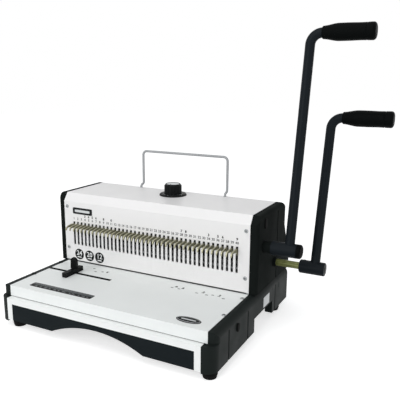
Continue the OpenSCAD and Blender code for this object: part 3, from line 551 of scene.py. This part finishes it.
# %% Floor
FLOOR_RADIUS = 6.0
FLOOR_POINTS = 96
FLOOR_DROP = 0.4 * MM
FLOOR_TONE = (0.86, 0.86, 0.86, 1.0)
GLOW_NEAR, GLOW_FAR = 0.63, 0.68
NEAR, FAR = 0.25, 1.5
radii = np.concatenate([[0.02], np.geomspace(0.1, FLOOR_RADIUS, 24)])
floor_turn = np.linspace(0, 2 * np.pi, FLOOR_POINTS, endpoint=False)
floor_x = radii[:, None] * np.cos(floor_turn)
floor_y = radii[:, None] * np.sin(floor_turn)
floor_rings = np.stack([floor_x, floor_y, np.full(floor_x.shape, -FLOOR_DROP)], -1)
floor_verts = np.vstack([floor_rings.reshape(-1, 3), [0, 0, -FLOOR_DROP]])
centre_pole = len(floor_verts) - 1
floor_faces = [f for f in ring_faces(len(radii), FLOOR_POINTS) if max(f) <= centre_pole]
pale = bpy.data.materials.new("pale_floor")
pale.use_nodes = True
pale_tree = pale.node_tree
floor_shader = pale_tree.nodes["Principled BSDF"]
floor_shader.inputs["Base Color"].default_value = FLOOR_TONE
floor_shader.inputs["Roughness"].default_value = 0.9
floor_shader.inputs["Specular IOR Level"].default_value = 0.1
floor_shader.inputs["Emission Color"].default_value = WHITE
floor_place = pale_tree.nodes.new("ShaderNodeTexCoord")
distance = pale_tree.nodes.new("ShaderNodeVectorMath")
distance.operation = "LENGTH"
pale_tree.links.new(floor_place.outputs["Object"], distance.inputs[0])
glow = pale_tree.nodes.new("ShaderNodeMath")
glow.operation = "MULTIPLY"
far_glow = remap(pale_tree, distance.outputs["Value"], GLOW_NEAR, GLOW_FAR, NEAR, FAR)
pale_tree.links.new(seen_directly(pale_tree), glow.inputs[0])
pale_tree.links.new(far_glow, glow.inputs[1])
pale_tree.links.new(glow.outputs[0], floor_shader.inputs["Emission Strength"])
floor = piece("floor", floor_verts, floor_faces, None, pale, None)
print("floor radius", FLOOR_RADIUS, "faces", len(floor_faces))

# %% [markdown]
# Places for printed marks: the head panel looks forward, the table up, the covers sideways.
# A mark is a thin piece whose back is sunk a little into the sheet, so it never floats.

# %% Faces that carry marks
INK_LOW, INK_HIGH = -0.05 * MM, 0.08 * MM
panel = Face((0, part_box("head_panel")[0].y, 0), (1, 0, 0), (0, 0, 1))
table_low, table_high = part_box("table_plate")
table = Face((0, 0, table_high.z), (1, 0, 0), (0, 1, 0))
cover_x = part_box("base_cover_right")[1].x
right_side = Face((cover_x, 0, 0), (0, 1, 0), (0, 0, 1))
left_side = Face((-cover_x, 0, 0), (0, -1, 0), (0, 0, 1))
BOTH_SIDES = (("right", right_side, 1), ("left", left_side, -1))
print("table height", table_high.z, "covers at", cover_x)

# %% [markdown]
# A small plate stands at the upper left of the panel: a dark plate with a pale, blank field. It could
# be painted on, but a real plate has a thickness and an edge that catches the light, so both are thin
# rounded plates, one on the other.

# %% Name plate
NAME_CENTRE = np.array([-145, 170.5]) * MM
NAME_HALF = np.array([22, 6]) * MM
NAME_FIELD_HALF = np.array([17, 2.3]) * MM
plate_edge = np.array([(0.0, -0.1), (0.0, 0.5), (0.25, 0.8), (0.5, 0.8)]) * MM
name_plate = rounded_plate(panel, NAME_CENTRE, NAME_HALF, 12, plate_edge)
piece("name_plate", *name_plate, "body", ink_black, "fitting_plastic")
field_edge = np.array([(0.0, 0.7), (0.0, 0.95), (0.2, 1.0)]) * MM
name_field = rounded_plate(panel, NAME_CENTRE, NAME_FIELD_HALF, 8, field_edge)
piece("name_field", *name_field, "body", foil, "wire_chrome")
print("name plate", NAME_HALF * 2)

# %% [markdown]
# The oval badge at the table's corner is made the same way, as ellipses: a dark plate, a bright line
# inside its rim, a dark field and a pale band across. Each lies a little higher than the last.

# %% Oval badge
BADGE_CENTRE = np.array([146.5, -128.5]) * MM
BADGE_HALF = np.array([20, 9]) * MM
BAND_HALF = np.array([12, 1.6]) * MM
line_edge = np.array([(1.5, 0.7), (1.5, 0.92), (1.7, 0.95)]) * MM
inner_edge = np.array([(2.1, 0.9), (2.1, 1.0), (2.4, 1.05)]) * MM
band_edge = np.array([(0.0, 1.0), (0.0, 1.1), (0.2, 1.15)]) * MM
oval_badge = rounded_plate(table, BADGE_CENTRE, BADGE_HALF, 2, plate_edge)
piece("oval_badge", *oval_badge, "body", ink_black, "fitting_plastic")
badge_rim = rounded_plate(table, BADGE_CENTRE, BADGE_HALF, 2, line_edge)
piece("badge_rim", *badge_rim, "body", foil, "wire_chrome")
badge_field = rounded_plate(table, BADGE_CENTRE, BADGE_HALF, 2, inner_edge)
piece("badge_field", *badge_field, "body", ink_black, "fitting_plastic")
badge_band = rounded_plate(table, BADGE_CENTRE, BAND_HALF, 6, band_edge)
piece("badge_band", *badge_band, "body", foil, "wire_chrome")
print("badge", BADGE_HALF * 2)

# %% [markdown]
# Numbers stand above the slots, and bolder single digits over some of them. The slots lie a pitch
# apart about the middle, so their places are one array.

# %% Slot numbers
PITCH = 8.47 * MM
SLOTS = 40
NUMBER_Z, NUMBER_HEIGHT, NUMBER_WEIGHT = 154.9 * MM, 4.3 * MM, 0.035
DIGIT_Z, DIGIT_HEIGHT, DIGIT_WEIGHT = 161.2 * MM, 4.2 * MM, 0.06
slot_x = (np.arange(SLOTS) - (SLOTS - 1) / 2) * PITCH
words = [str(i + 1) for i in range(SLOTS)]
number_row = row(slot_x, NUMBER_Z)
slot_numbers = numerals(panel, words, number_row, NUMBER_HEIGHT, INK_LOW, INK_HIGH, NUMBER_WEIGHT)
piece("slot_numbers", *slot_numbers, "body", ink_grey, "fitting_plastic")
digit_slots = [3, 4, 5, 6, 8, 10, 27, 28, 33, 35, 36, 39]
digits = [str(i % 10) for i in digit_slots]
digit_row = row(slot_x[digit_slots], DIGIT_Z)
slot_sizes = numerals(panel, digits, digit_row, DIGIT_HEIGHT, INK_LOW, INK_HIGH, DIGIT_WEIGHT)
piece("slot_sizes", *slot_sizes, "body", ink_black, "fitting_plastic")
print("numbers", len(words), "digits", len(digits))

# %% [markdown]
# The walls inside the slots are dark with painted shade: a thin dark sheet stands on both walls of
# every slot in the panel, and of the long slot that the edge guide runs in. A darker material on the
# sheet's own walls would do as well, but a thin sheet leaves the solid as it is.

# %% Slot wall shades
SHEET = 1.5 * MM
WALL_SHADE_HALF = 0.08 * MM
EDGE_DROP = 0.03 * MM
SLOT_WALL = 2.08 * MM
SLOT_MID, SLOT_STRAIGHT = 127.1 * MM, 20.0 * MM
TRACK_X, TRACK_Y = -114.4 * MM, -52.0 * MM
TRACK_WALL, TRACK_STRAIGHT = 3.48 * MM, 67.5 * MM
walls = row((slot_x[:, None] + np.array([-SLOT_WALL, SLOT_WALL])).ravel(), SLOT_MID)
# Thin dark sheets on the slot walls: painted shade.
slot_wall_shades = bars(panel, walls, (WALL_SHADE_HALF, SLOT_STRAIGHT), -SHEET, -EDGE_DROP)
piece("slot_wall_shades", *slot_wall_shades, "body", recess_shade, "fitting_plastic")
track_walls = [(TRACK_X, TRACK_Y + TRACK_WALL), (TRACK_X, TRACK_Y - TRACK_WALL)]
track_wall_shades = bars(table, track_walls, (TRACK_STRAIGHT, WALL_SHADE_HALF), -SHEET, -EDGE_DROP)
piece("track_wall_shades", *track_wall_shades, "body", recess_shade, "fitting_plastic")
print("wall_shades", len(walls) + len(track_walls))

# %% [markdown]
# The left cover laps a little over the table's edge, along its top and down its front. Two thin bars
# show that lap.

# %% Left lap
LAP_HALF = 2.7 * MM
LAP_LOW, LAP_HIGH = -0.1 * MM, 0.2 * MM
skirt = Face((0, table_low.y, 0), (1, 0, 0), (0, 0, 1))
lap_x = table_low.x + LAP_HALF
skirt_mid, skirt_half = (table_low.z + table_high.z) / 2, (table_high.z - table_low.z) / 2
lap_top = bars(table, [(lap_x, table_low.y / 2)], (LAP_HALF, -table_low.y / 2), LAP_LOW, LAP_HIGH)
lap_front = bars(skirt, [(lap_x, skirt_mid)], (LAP_HALF, skirt_half), LAP_LOW, LAP_HIGH)
piece("left_lap", *joined([lap_top, lap_front]), "body", base_black, "cover_plastic")
print("lap", LAP_HALF * 2, "wide")

# %% [markdown]
# Three round signs sit at the lower left of the panel: dark discs with a pale number over a band.

# %% Round signs
SIGN_Z, SIGN_RADIUS = 86.7 * MM, 10.3 * MM
SIGN_NUMBER_UP, SIGN_NUMBER_HEIGHT, SIGN_NUMBER_WEIGHT = 1.8 * MM, 9.2 * MM, 0.02
SIGN_BAND_DOWN = 5.6 * MM
SIGN_BAND_HALF = np.array([4.6, 0.9]) * MM
SIGN_LOW, SIGN_HIGH = INK_HIGH * 0.6, INK_HIGH * 2
sign_x = np.array([-156.0, -132.2, -109.3]) * MM
disc_edge = [(0.0, INK_LOW), (0.0, INK_HIGH), (0.2 * MM, INK_HIGH * 1.2)]
discs = joined([round_plate(panel, place, SIGN_RADIUS, disc_edge) for place in row(sign_x, SIGN_Z)])
piece("sign_discs", *discs, "body", ink_black, "fitting_plastic")
sign_words = ["24", "20", "12"]
sign_numbers = numerals(panel, sign_words, row(sign_x, SIGN_Z + SIGN_NUMBER_UP), SIGN_NUMBER_HEIGHT,
                        SIGN_LOW, SIGN_HIGH, SIGN_NUMBER_WEIGHT)
piece("sign_numbers", *sign_numbers, "body", ink_white, "white_paint")
sign_bands = bars(panel, row(sign_x, SIGN_Z - SIGN_BAND_DOWN), SIGN_BAND_HALF, SIGN_LOW, SIGN_HIGH)
piece("sign_bands", *sign_bands, "body", ink_white, "white_paint")
print("signs", len(sign_x))

# %% [markdown]
# The table carries a ruled strip near its left front corner: a dark strip with a grey field, ticks
# every two millimetres that are longer at each fifth, and a row of grey blocks below them.

# %% Ruled strip
STRIP_X, STRIP_Y = -90 * MM, -127 * MM
STRIP_HALF = np.array([63.3, 7.8]) * MM
FIELD_Y = -123.6 * MM
FIELD_HALF = np.array([61.6, 3.4]) * MM
SHORT_TICK_Y = -125.2 * MM
TICK_HALF, LONG_TICK_HALF, SHORT_TICK_HALF = 0.35 * MM, 3.3 * MM, 1.7 * MM
BLOCK_Y, BLOCK_HALF = -130.4 * MM, 1.5 * MM
strip_edge = np.array([(0.0, -0.05), (0.0, 0.12), (0.2, 0.16)]) * MM
ruled_strip = rounded_plate(table, (STRIP_X, STRIP_Y), STRIP_HALF, 14, strip_edge)
piece("ruled_strip", *ruled_strip, "body", ink_black, "fitting_plastic")
grey_edge = np.array([(0.0, 0.1), (0.0, 0.2), (0.1, 0.22)]) * MM
strip_field = rounded_plate(table, (STRIP_X, FIELD_Y), FIELD_HALF, 14, grey_edge)
piece("strip_field", *strip_field, "body", strip_grey, "table_paint")
tick_x = np.linspace(-150, -30, 61) * MM
fifth = np.arange(len(tick_x)) % 5 == 0
ticks = np.column_stack([tick_x, np.where(fifth, FIELD_Y, SHORT_TICK_Y)])
tick_halves = row(np.where(fifth, LONG_TICK_HALF, SHORT_TICK_HALF), TICK_HALF)[:, ::-1]
strip_ticks = bars(table, ticks, tick_halves, 0.15 * MM, 0.26 * MM)
piece("strip_ticks", *strip_ticks, "body", ink_black, "fitting_plastic")
block_x = np.array([-141, -131, -120, -112, -101, -93, -82, -70, -63, -52, -43, -35]) * MM
block_halves = row(np.tile([2.6, 1.6, 3.4, 1.8], 3) * MM, BLOCK_HALF)
strip_blocks = bars(table, row(block_x, BLOCK_Y), block_halves, 0.1 * MM, 0.24 * MM)
piece("strip_blocks", *strip_blocks, "body", strip_grey, "table_paint")
print("ticks", len(ticks), "blocks", len(block_x))

# %% [markdown]
# Short marks by the head show where common sheets lie, and small diamonds point at five of them. A
# diamond is a square bar turned by an eighth of a turn.

# %% Sheet marks
MARK_HALF = np.array([2.4, 1.0]) * MM
DIAMOND_Y, DIAMOND_HALF = -24.0 * MM, 1.6 * MM
marks = np.array([(-152, -26), (-141, -31), (-108, -18), (-96, -30), (-84, -25), (-75, -21), (63, -31),
                  (68, -26), (76, -31), (81, -27), (110, -33), (119, -28), (128, -33), (137, -29),
                  (148, -29), (158, -34)]) * MM
sheet_marks = bars(table, marks, MARK_HALF, INK_LOW, INK_HIGH)
piece("sheet_marks", *sheet_marks, "body", ink_grey, "fitting_plastic")
diamonds = row(np.array([-75, 68, 81, 119, 148]) * MM, DIAMOND_Y)
sheet_arrows = bars(table, diamonds, (DIAMOND_HALF, DIAMOND_HALF), INK_LOW, INK_HIGH, np.pi / 4)
piece("sheet_arrows", *sheet_arrows, "body", ink_black, "fitting_plastic")
print("sheet marks", len(marks), "diamonds", len(diamonds))

# %% [markdown]
# Screw heads show a cross. It is two dark bars, painted shade of the cross-shaped hollow, sunk into
# the head and turned a little differently on each screw, because nobody lines them up. The screws on
# the table's left edge wear dark caps.

# %% Screw crosses
HEAD_HEIGHT, CROSS_REACH = 1.2 * MM, 1.7 * MM
CROSS_SINK, CROSS_STAND = 0.5 * MM, 0.03 * MM
BAR_SHARE = 0.22
CAP_RADIUS = 3.9 * MM


def crosses(face, places, angles):
    """Two crossed bars for each place, turned by its angle."""
    both = np.repeat(np.asarray(places, float), 2, axis=0)
    turn = np.repeat(np.asarray(angles, float), 2) + np.tile([0, np.pi / 2], len(places))
    halves = (CROSS_REACH, CROSS_REACH * BAR_SHARE)
    return bars(face, both, halves, HEAD_HEIGHT - CROSS_SINK, HEAD_HEIGHT + CROSS_STAND, turn)


panel_places = np.array([(x, z) for x in (-180.3, 180.3) for z in (97.9, 176.9)]) * MM
panel_crosses = crosses(panel, panel_places, [0.3, 0.9, 0.1, 0.6])
# The crosses are painted shade of the cross-shaped hollows in the heads.
piece("panel_screw_crosses", *panel_crosses, "body", recess_shade, "black_steel")
left_places = np.array([(-184.5, -90), (-184.5, -20)]) * MM
right_places = left_places * [-1, 1]
piece("table_screw_crosses", *crosses(table, right_places, [1.0, 0.7]), "body", recess_shade, "black_steel")
raised_edge = np.array([(0.0, -0.1), (0.0, 1.6), (0.3, 2.1), (1.2, 2.3)]) * MM
left_caps = joined([round_plate(table, place, CAP_RADIUS, raised_edge, 36) for place in left_places])
piece("left_screw_caps", *left_caps, "body", base_black, "cover_plastic")
print("crosses", len(panel_places) + len(right_places), "caps", len(left_places))

# %% [markdown]
# Dark raised discs lie over the screw wells of the moulded ends, one low on the base and one high on
# the head; their dark is painted shade of the wells. They are upright and a little square, which a
# superellipse of power 3 gives.

# %% Screw well shades
WELL_SHADE_HALF_WIDTH = 4 * MM
WELL_SHADE_PLACES = np.array([(-75, 50), (31, 184.5)]) * MM
WELL_SHADE_HALF_HEIGHTS = np.array([6.4, 8.5]) * MM
# Each dark disc is painted shade of a screw well.
for label, side, way in BOTH_SIDES:
    well_shades = joined([rounded_plate(side, place, (WELL_SHADE_HALF_WIDTH, tall), 3, raised_edge, 48)
                    for place, tall in zip(WELL_SHADE_PLACES * [way, 1], WELL_SHADE_HALF_HEIGHTS)])
    piece(f"{label}_screw_well_shades", *well_shades, "body", recess_shade, "cover_plastic")
    print(label, "well_shades", len(WELL_SHADE_PLACES))

# %% [markdown]
# Each side of the base has two small slits. Cut slits would need new solids, so they are dark bars,
# painted shade of the slits' insides, that stand out by less than the grain of the plastic.

# %% Slits
SLIT_PLACES = np.array([(112, 53), (77, 57)]) * MM
SLIT_HALVES = np.array([(1.1, 5), (0.9, 2.6)]) * MM
SLIT_LOW, SLIT_HIGH = -0.4 * MM, 0.03 * MM
# The dark bars are painted shade of the slits' insides.
for label, side, way in BOTH_SIDES:
    slits = bars(side, SLIT_PLACES * [way, 1], SLIT_HALVES, SLIT_LOW, SLIT_HIGH)
    piece(f"{label}_slits", *slits, "body", recess_shade, "cover_plastic")
    print(label, "slits", len(SLIT_PLACES))

# %% [markdown]
# The grooves of the covers look black inside, because little light reaches their floors. In a render
# they stay grey, so a dark strip lies on each floor: three on the base, and a long one on the head.

# %% Groove floors
GROOVE_PLACES = np.array([(-106, 35.4), (-33, 35.4), (93, 35.4), (93, 122)]) * MM
GROOVE_HALVES = np.array([(1.45, 23.5), (1.45, 23.5), (1.45, 23.5), (1.45, 44)]) * MM
GROOVE_LOW, GROOVE_HIGH = -1.3 * MM, -1.05 * MM
for label, side, way in BOTH_SIDES:
    floors = bars(side, GROOVE_PLACES * [way, 1], GROOVE_HALVES, GROOVE_LOW, GROOVE_HIGH)
    piece(f"{label}_groove_floors", *floors, "body", recess_shade, "cover_plastic")
    print(label, "groove floors", len(GROOVE_PLACES))

# %% [markdown]
# The lever side of the base carries a blank pale label, a foil with slightly rounded corners.

# %% Side label
LABEL_CENTRE = np.array([49, 46.5]) * MM
LABEL_HALF = np.array([14, 9]) * MM
label_edge = np.array([(0.0, -0.05), (0.0, 0.1), (0.2, 0.14)]) * MM
side_label = rounded_plate(right_side, LABEL_CENTRE, LABEL_HALF, 16, label_edge)
piece("side_label", *side_label, "body", foil, "wire_chrome")
print("side label", LABEL_HALF * 2)

# %% [markdown]
# The grips are smooth plastic with a belly. A turned profile gives that: the radius follows a smooth
# step from the collar to the belly, eases a little, dips at a shallow groove before the end band, and
# closes in a quarter round. Places along the grip are shares of its length.

# %% Grips
BELLY_AT, COLLAR_DEPTH, COLLAR_STEP = 0.32, 3.4 * MM, 0.9 * MM
EASE_AT, EASE_WIDTH, EASE_DEPTH = 0.72, 0.14, 0.4 * MM
GROOVE_AT, GROOVE_WIDTH, GROOVE_DEPTH = 0.833, 0.008, 0.6 * MM
END_AT = 0.94
GRIP_POINTS = 72


def grip(axis, x0, length, radius):
    """A turned grip. With s from 0 to 1 along it, the radius is the belly's less
    collar depth * (1 - 3 t^2 + 2 t^3), t = s / belly place capped at 1, less the ease and the groove,
    each depth * exp(-((s - place) / width)^2)."""
    s = np.concatenate([np.linspace(0.012, 0.80, 36), np.linspace(0.805, 0.86, 10),
                        np.linspace(0.865, END_AT, 8)])
    t = np.minimum(s / BELLY_AT, 1.0)
    r = radius - COLLAR_DEPTH * (1 - (3 * t ** 2 - 2 * t ** 3))
    r -= EASE_DEPTH * np.exp(-((s - EASE_AT) / EASE_WIDTH) ** 2)
    r -= GROOVE_DEPTH * np.exp(-((s - GROOVE_AT) / GROOVE_WIDTH) ** 2)
    a = np.linspace(0, np.pi / 2, 9)[1:]
    end_r = (1 - END_AT) * length
    s = np.concatenate([[0.0], s, END_AT + (1 - END_AT) * np.sin(a)])
    r = np.concatenate([[r[0] - COLLAR_STEP], r, radius - end_r * (1 - np.cos(a))])
    return turned(axis, np.column_stack([x0 + s * length, r]), GRIP_POINTS)


for label in ("punch", "opener"):
    low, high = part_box(f"{label}_grip")
    axis = ((low.y + high.y) / 2, (low.z + high.z) / 2)
    shape = grip(axis, low.x, high.x - low.x, (high.y - low.y) / 2)
    handle = piece(f"{label}_handle", *shape, f"{label}_lever", grip_black, "grip_plastic", sharp=50)
    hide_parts(f"{label}_grip")
    print(label, "grip length", round(high.x - low.x, 4))

# %% [markdown]
# Hooks are stamped from plate, so both sides are flat and the outline is what matters: a neck from
# the slot, an arched back and a tip that turns down. It could be arcs and lines, but a closed smooth
# curve through a few corner points is shorter and has no flat spots.

# %% Hook outline
DRAWN_REACH = 24
SPAN_POINTS = 4


def closed_curve(points, per_span):
    """Catmull-Rom curve through closed corner points: on each span the cubic
    0.5 * (2 b + (c - a) t + (2 a - 5 b + 4 c - d) t^2 + (3 b - a - 3 c + d) t^3)."""
    b = np.asarray(points, float)[:, None, :]
    a, c, d = np.roll(b, 1, 0), np.roll(b, -1, 0), np.roll(b, -2, 0)
    t = np.linspace(0, 1, per_span, endpoint=False)[None, :, None]
    cubic = 2 * b + (c - a) * t + (2 * a - 5 * b + 4 * c - d) * t ** 2 + (3 * b - a - 3 * c + d) * t ** 3
    return (0.5 * cubic).reshape(-1, 2)


def inward_normals(points):
    """Unit vectors square to a closed outline, on the side where its area lies."""
    after = np.roll(points, -1, 0)
    step = after - np.roll(points, 1, 0)
    square = np.column_stack([-step[:, 1], step[:, 0]]) / np.linalg.norm(step, axis=1, keepdims=True)
    return square * np.sign(np.sum(points[:, 0] * after[:, 1] - points[:, 1] * after[:, 0]))


hook_low, hook_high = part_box("hooks")
root = hook_high.y / MM
corners = np.array([(root, -13), (0.5, -11.2), (-3, -8), (-7, -5.8), (-18, -4.6), (-21, -6.2),
                    (-22.5, -9), (-23.7, -8.4), (-24, -5.4), (-22.2, -3), (-18, -1.1), (-7, 0),
                    (-1.5, -0.7), (root, -1.7)])
corners[:, 0] *= -hook_low.y / MM / DRAWN_REACH
outline = closed_curve(corners, SPAN_POINTS) * MM
outline[:, 0] = np.clip(outline[:, 0], hook_low.y, hook_high.y)
inward = inward_normals(outline)
outline += [0, hook_high.z]
print("outline points", len(outline))

# %% [markdown]
# A small chamfer breaks the edges of each hook on both sides. The flat flanks get a darker copy of
# the zinc, painted shade for the little light that reaches between the hooks, so a thin darker plate
# with the same outline, set in a little, lies on each.

# %% Hooks
HOOK_HALF, CHAMFER = 1.1 * MM, 0.3 * MM
FLANK_INSET, FLANK_SINK, FLANK_STAND = 0.4 * MM, 0.1 * MM, 0.06 * MM


def slab(sections):
    """A flat-sided solid: closed outlines, each at its own place along X, joined by quads, with a
    flat face on the first and on the last."""
    count = len(sections[0][1])
    verts = np.concatenate([np.column_stack([np.full(count, x), points]) for x, points in sections])
    i = np.arange(count)
    k = (i + 1) % count
    low = np.arange(len(sections) - 1)[:, None] * count
    quads = np.stack([low + i, low + k, low + count + k, low + count + i], -1).reshape(-1, 4)
    return verts, [*quads, i[::-1], (len(sections) - 1) * count + i]


hook_levels = [(-HOOK_HALF, CHAMFER), (-HOOK_HALF + CHAMFER, 0.0), (HOOK_HALF - CHAMFER, 0.0),
               (HOOK_HALF, CHAMFER)]
one_hook, hook_faces = slab([(x, outline + inward * inset) for x, inset in hook_levels])
hook_parts = joined([(one_hook + [x, 0, 0], hook_faces) for x in slot_x])
ring_hooks = piece("ring_hooks", *hook_parts, "rake", zinc, "yellow_zinc", sharp=40)
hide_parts("hooks")
# The flank plates carry the painted shade.
flank_levels = (HOOK_HALF - FLANK_SINK, HOOK_HALF + FLANK_STAND)
one_flank, flank_faces = slab([(x, outline + inward * FLANK_INSET) for x in flank_levels])
flank_parts = joined([(one_flank * [way, 1, 1] + [x, 0, 0], flank_faces)
                      for x in slot_x for way in (-1, 1)])
piece("hook_flank_shades", *flank_parts, "rake", zinc_flank_shade, "yellow_zinc", sharp=40)
print("hooks", len(slot_x))

# %% [markdown]
# The press springs are plain tubes in the solids. Here they are wound: a round wire carried along a
# helix.

# %% Press springs
COIL_RADIUS, COIL_WIRE, COIL_TURNS = 2.5 * MM, 0.45 * MM, 7.5
STEPS_PER_TURN = 20
WIRE_POINTS = 10


def coil(x, y, z0, z1):
    """A round wire along a helix: centre (R cos a, R sin a, z0 + rise a); the ring at each step
    spans the outward direction and the one square to it and to the path."""
    a = np.linspace(0, 2 * np.pi * COIL_TURNS, int(COIL_TURNS * STEPS_PER_TURN))
    rise = (z1 - z0 - 2 * COIL_WIRE) / a[-1]
    outward = np.column_stack([np.cos(a), np.sin(a), np.zeros_like(a)])
    middle = [x, y, z0 + COIL_WIRE] + COIL_RADIUS * outward + np.outer(rise * a, [0, 0, 1])
    along = np.column_stack([-COIL_RADIUS * np.sin(a), COIL_RADIUS * np.cos(a), np.full_like(a, rise)])
    along /= np.linalg.norm(along, axis=1, keepdims=True)
    square = np.cross(along, outward)
    t = np.linspace(0, 2 * np.pi, WIRE_POINTS, endpoint=False)[:, None]
    around = np.cos(t) * outward[:, None] + np.sin(t) * square[:, None]
    return stack(middle[:, None] + COIL_WIRE * around)


spring_low, spring_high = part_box("press_springs")
spring_y = (spring_low.y + spring_high.y) / 2
spring_x = np.array([-3, -1, 1, 3]) / 8 * (SLOTS - 1) * PITCH
coils = joined([coil(x, spring_y, spring_low.z, spring_high.z) for x in spring_x])
wound = piece("wound_springs", *coils, "body", oiled, "spring_steel", sharp=60)
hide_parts("press_springs")
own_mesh(wound)

# %% [markdown]
# The knob on the head has a raised rim round a bright domed insert with a pointer line. The rim's
# profile goes up, over and down again, so one plate makes the rim and its hollow.

# %% Knob
RIM_RADIUS, INSERT_RADIUS = 13.8 * MM, 12.2 * MM
POINTER_CENTRE = np.array([0, -8]) * MM
POINTER_HALF = np.array([0.6, 3.0]) * MM
knob_low, knob_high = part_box("size_knob")
knob_y = (knob_low.y + knob_high.y) / 2
knob_face = Face((0, knob_y, knob_high.z), (1, 0, 0), (0, 1, 0))
rim_edge = np.array([(0.0, -0.4), (0.0, 0.7), (0.3, 1.0), (0.9, 1.0), (1.2, 0.7), (1.2, -0.3)]) * MM
knob_rim = round_plate(knob_face, (0, 0), RIM_RADIUS, rim_edge)
piece("knob_rim", *knob_rim, "size_knob", fitting_black, "fitting_plastic")
dome = np.array([(0.0, -0.4), (0.0, 0.3), (0.6, 0.5), (4.0, 0.85), (8.0, 1.05)]) * MM
knob_cap = round_plate(knob_face, (0, 0), INSERT_RADIUS, dome)
piece("knob_cap", *knob_cap, "size_knob", foil, "wire_chrome")
knob_pointer = bars(knob_face, [POINTER_CENTRE], POINTER_HALF, 0.2 * MM, 0.95 * MM)
piece("knob_pointer", *knob_pointer, "size_knob", ink_black, "fitting_plastic")
print("knob height", round(knob_high.z - knob_low.z, 4))

# %% [markdown]
# The fixed dial under the knob carries ticks and numbers, placed by angle about the spindle.

# %% Dial
DIAL_REACH = 2.6
DIAL_TICKS = 21
TICK_CIRCLE, NUMBER_CIRCLE = 17.6 * MM, 21 * MM
DIAL_NUMBER_HEIGHT = 2.4 * MM
DIAL_LOW, DIAL_HIGH = -0.05 * MM, 0.06 * MM


def on_circle(angles, radius):
    """Places (r cos a, r sin a) on a circle."""
    return np.column_stack([np.cos(angles), np.sin(angles)]) * radius


dial_face = Face((0, knob_y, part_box("dial_plate")[1].z), (1, 0, 0), (0, 1, 0))
dial_turn = np.linspace(-DIAL_REACH, DIAL_REACH, DIAL_TICKS) - np.pi / 2
dial_halves = row(np.where(np.arange(DIAL_TICKS) % 5 == 0, 1.3, 0.8) * MM, 0.2 * MM)
dial_ticks = bars(dial_face, on_circle(dial_turn, TICK_CIRCLE), dial_halves, DIAL_LOW, DIAL_HIGH, dial_turn)
piece("dial_ticks", *dial_ticks, "body", ink_white, "white_paint")
dial_numbers = numerals(dial_face, ["1", "2", "3", "4", "5"], on_circle(dial_turn[::5], NUMBER_CIRCLE),
                        DIAL_NUMBER_HEIGHT, DIAL_LOW, DIAL_HIGH)
piece("dial_numbers", *dial_numbers, "body", ink_white, "white_paint")
print("dial ticks", DIAL_TICKS)

# %% [markdown]
# Small lever details: a chamfered dark face on the end of the lower shaft, a rim on the upper hub's
# cap, and a socket screw in each hub. The shafts' axes are those of the levers' joints.

# %% Hub details
HUB_SCREW_X = {"punch": 224 * MM, "opener": 254 * MM}
HUB_SCREW_RADIUS = 2.6 * MM
opener_axis = joints["opener_lever"]["pos_m"][1:]
punch_axis = joints["punch_lever"]["pos_m"][1:]
end_face = np.array([(-0.5, 5.9), (0.2, 5.9), (0.7, 5.3), (0.75, 2.0)]) * MM
shaft_end = turned(opener_axis, end_face + [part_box("opener_shaft")[1].x, 0])
piece("shaft_end", *shaft_end, "opener_lever", black_steel, "black_steel")
cap_face = np.array([(-0.4, 6.0), (0.25, 6.0), (0.35, 5.6)]) * MM
hub_cap_rim = turned(punch_axis, cap_face + [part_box("punch_hub_cap")[1].x, 0])
piece("hub_cap_rim", *hub_cap_rim, "punch_lever", grip_black, "grip_plastic")
socket_edge = np.array([(0.0, -1.2), (0.0, 0.25), (0.3, 0.4), (1.2, 0.4), (1.2, -0.6)]) * MM
for label, axis in (("punch", punch_axis), ("opener", opener_axis)):
    hub_top = Face((HUB_SCREW_X[label], axis[0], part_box(f"{label}_hub")[1].z), (1, 0, 0), (0, 1, 0))
    hub_screw = round_plate(hub_top, (0, 0), HUB_SCREW_RADIUS, socket_edge, 36)
    piece(f"{label}_hub_screw", *hub_screw, f"{label}_lever", black_steel, "black_steel")
    print(label, "hub axis", axis)

# %% [markdown]
# The edge guide's clamp is pinched between thumb and finger, so both faces carry upright ribs.

# %% Guide ribs
RIBS = 5
RIB_MARGIN, RIB_DOWN = 3.2 * MM, 1 * MM
RIB_HALF = np.array([0.5, 6.5]) * MM
RIB_LOW, RIB_HIGH = -0.2 * MM, 0.45 * MM
clamp_low, clamp_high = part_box("guide_clamp")
rib_x = np.linspace(clamp_low.x + RIB_MARGIN, clamp_high.x - RIB_MARGIN, RIBS)
rib_z = (clamp_low.z + clamp_high.z) / 2 - RIB_DOWN
rib_parts = []
for y, way in ((clamp_low.y, 1), (clamp_high.y, -1)):
    rib_face = Face((0, y, 0), (way, 0, 0), (0, 0, 1))
    rib_parts.append(bars(rib_face, row(rib_x * way, rib_z), RIB_HALF, RIB_LOW, RIB_HIGH))
piece("guide_ribs", *joined(rib_parts), "edge_guide", fitting_black, "fitting_plastic")
print("ribs", RIBS * len(rib_parts))
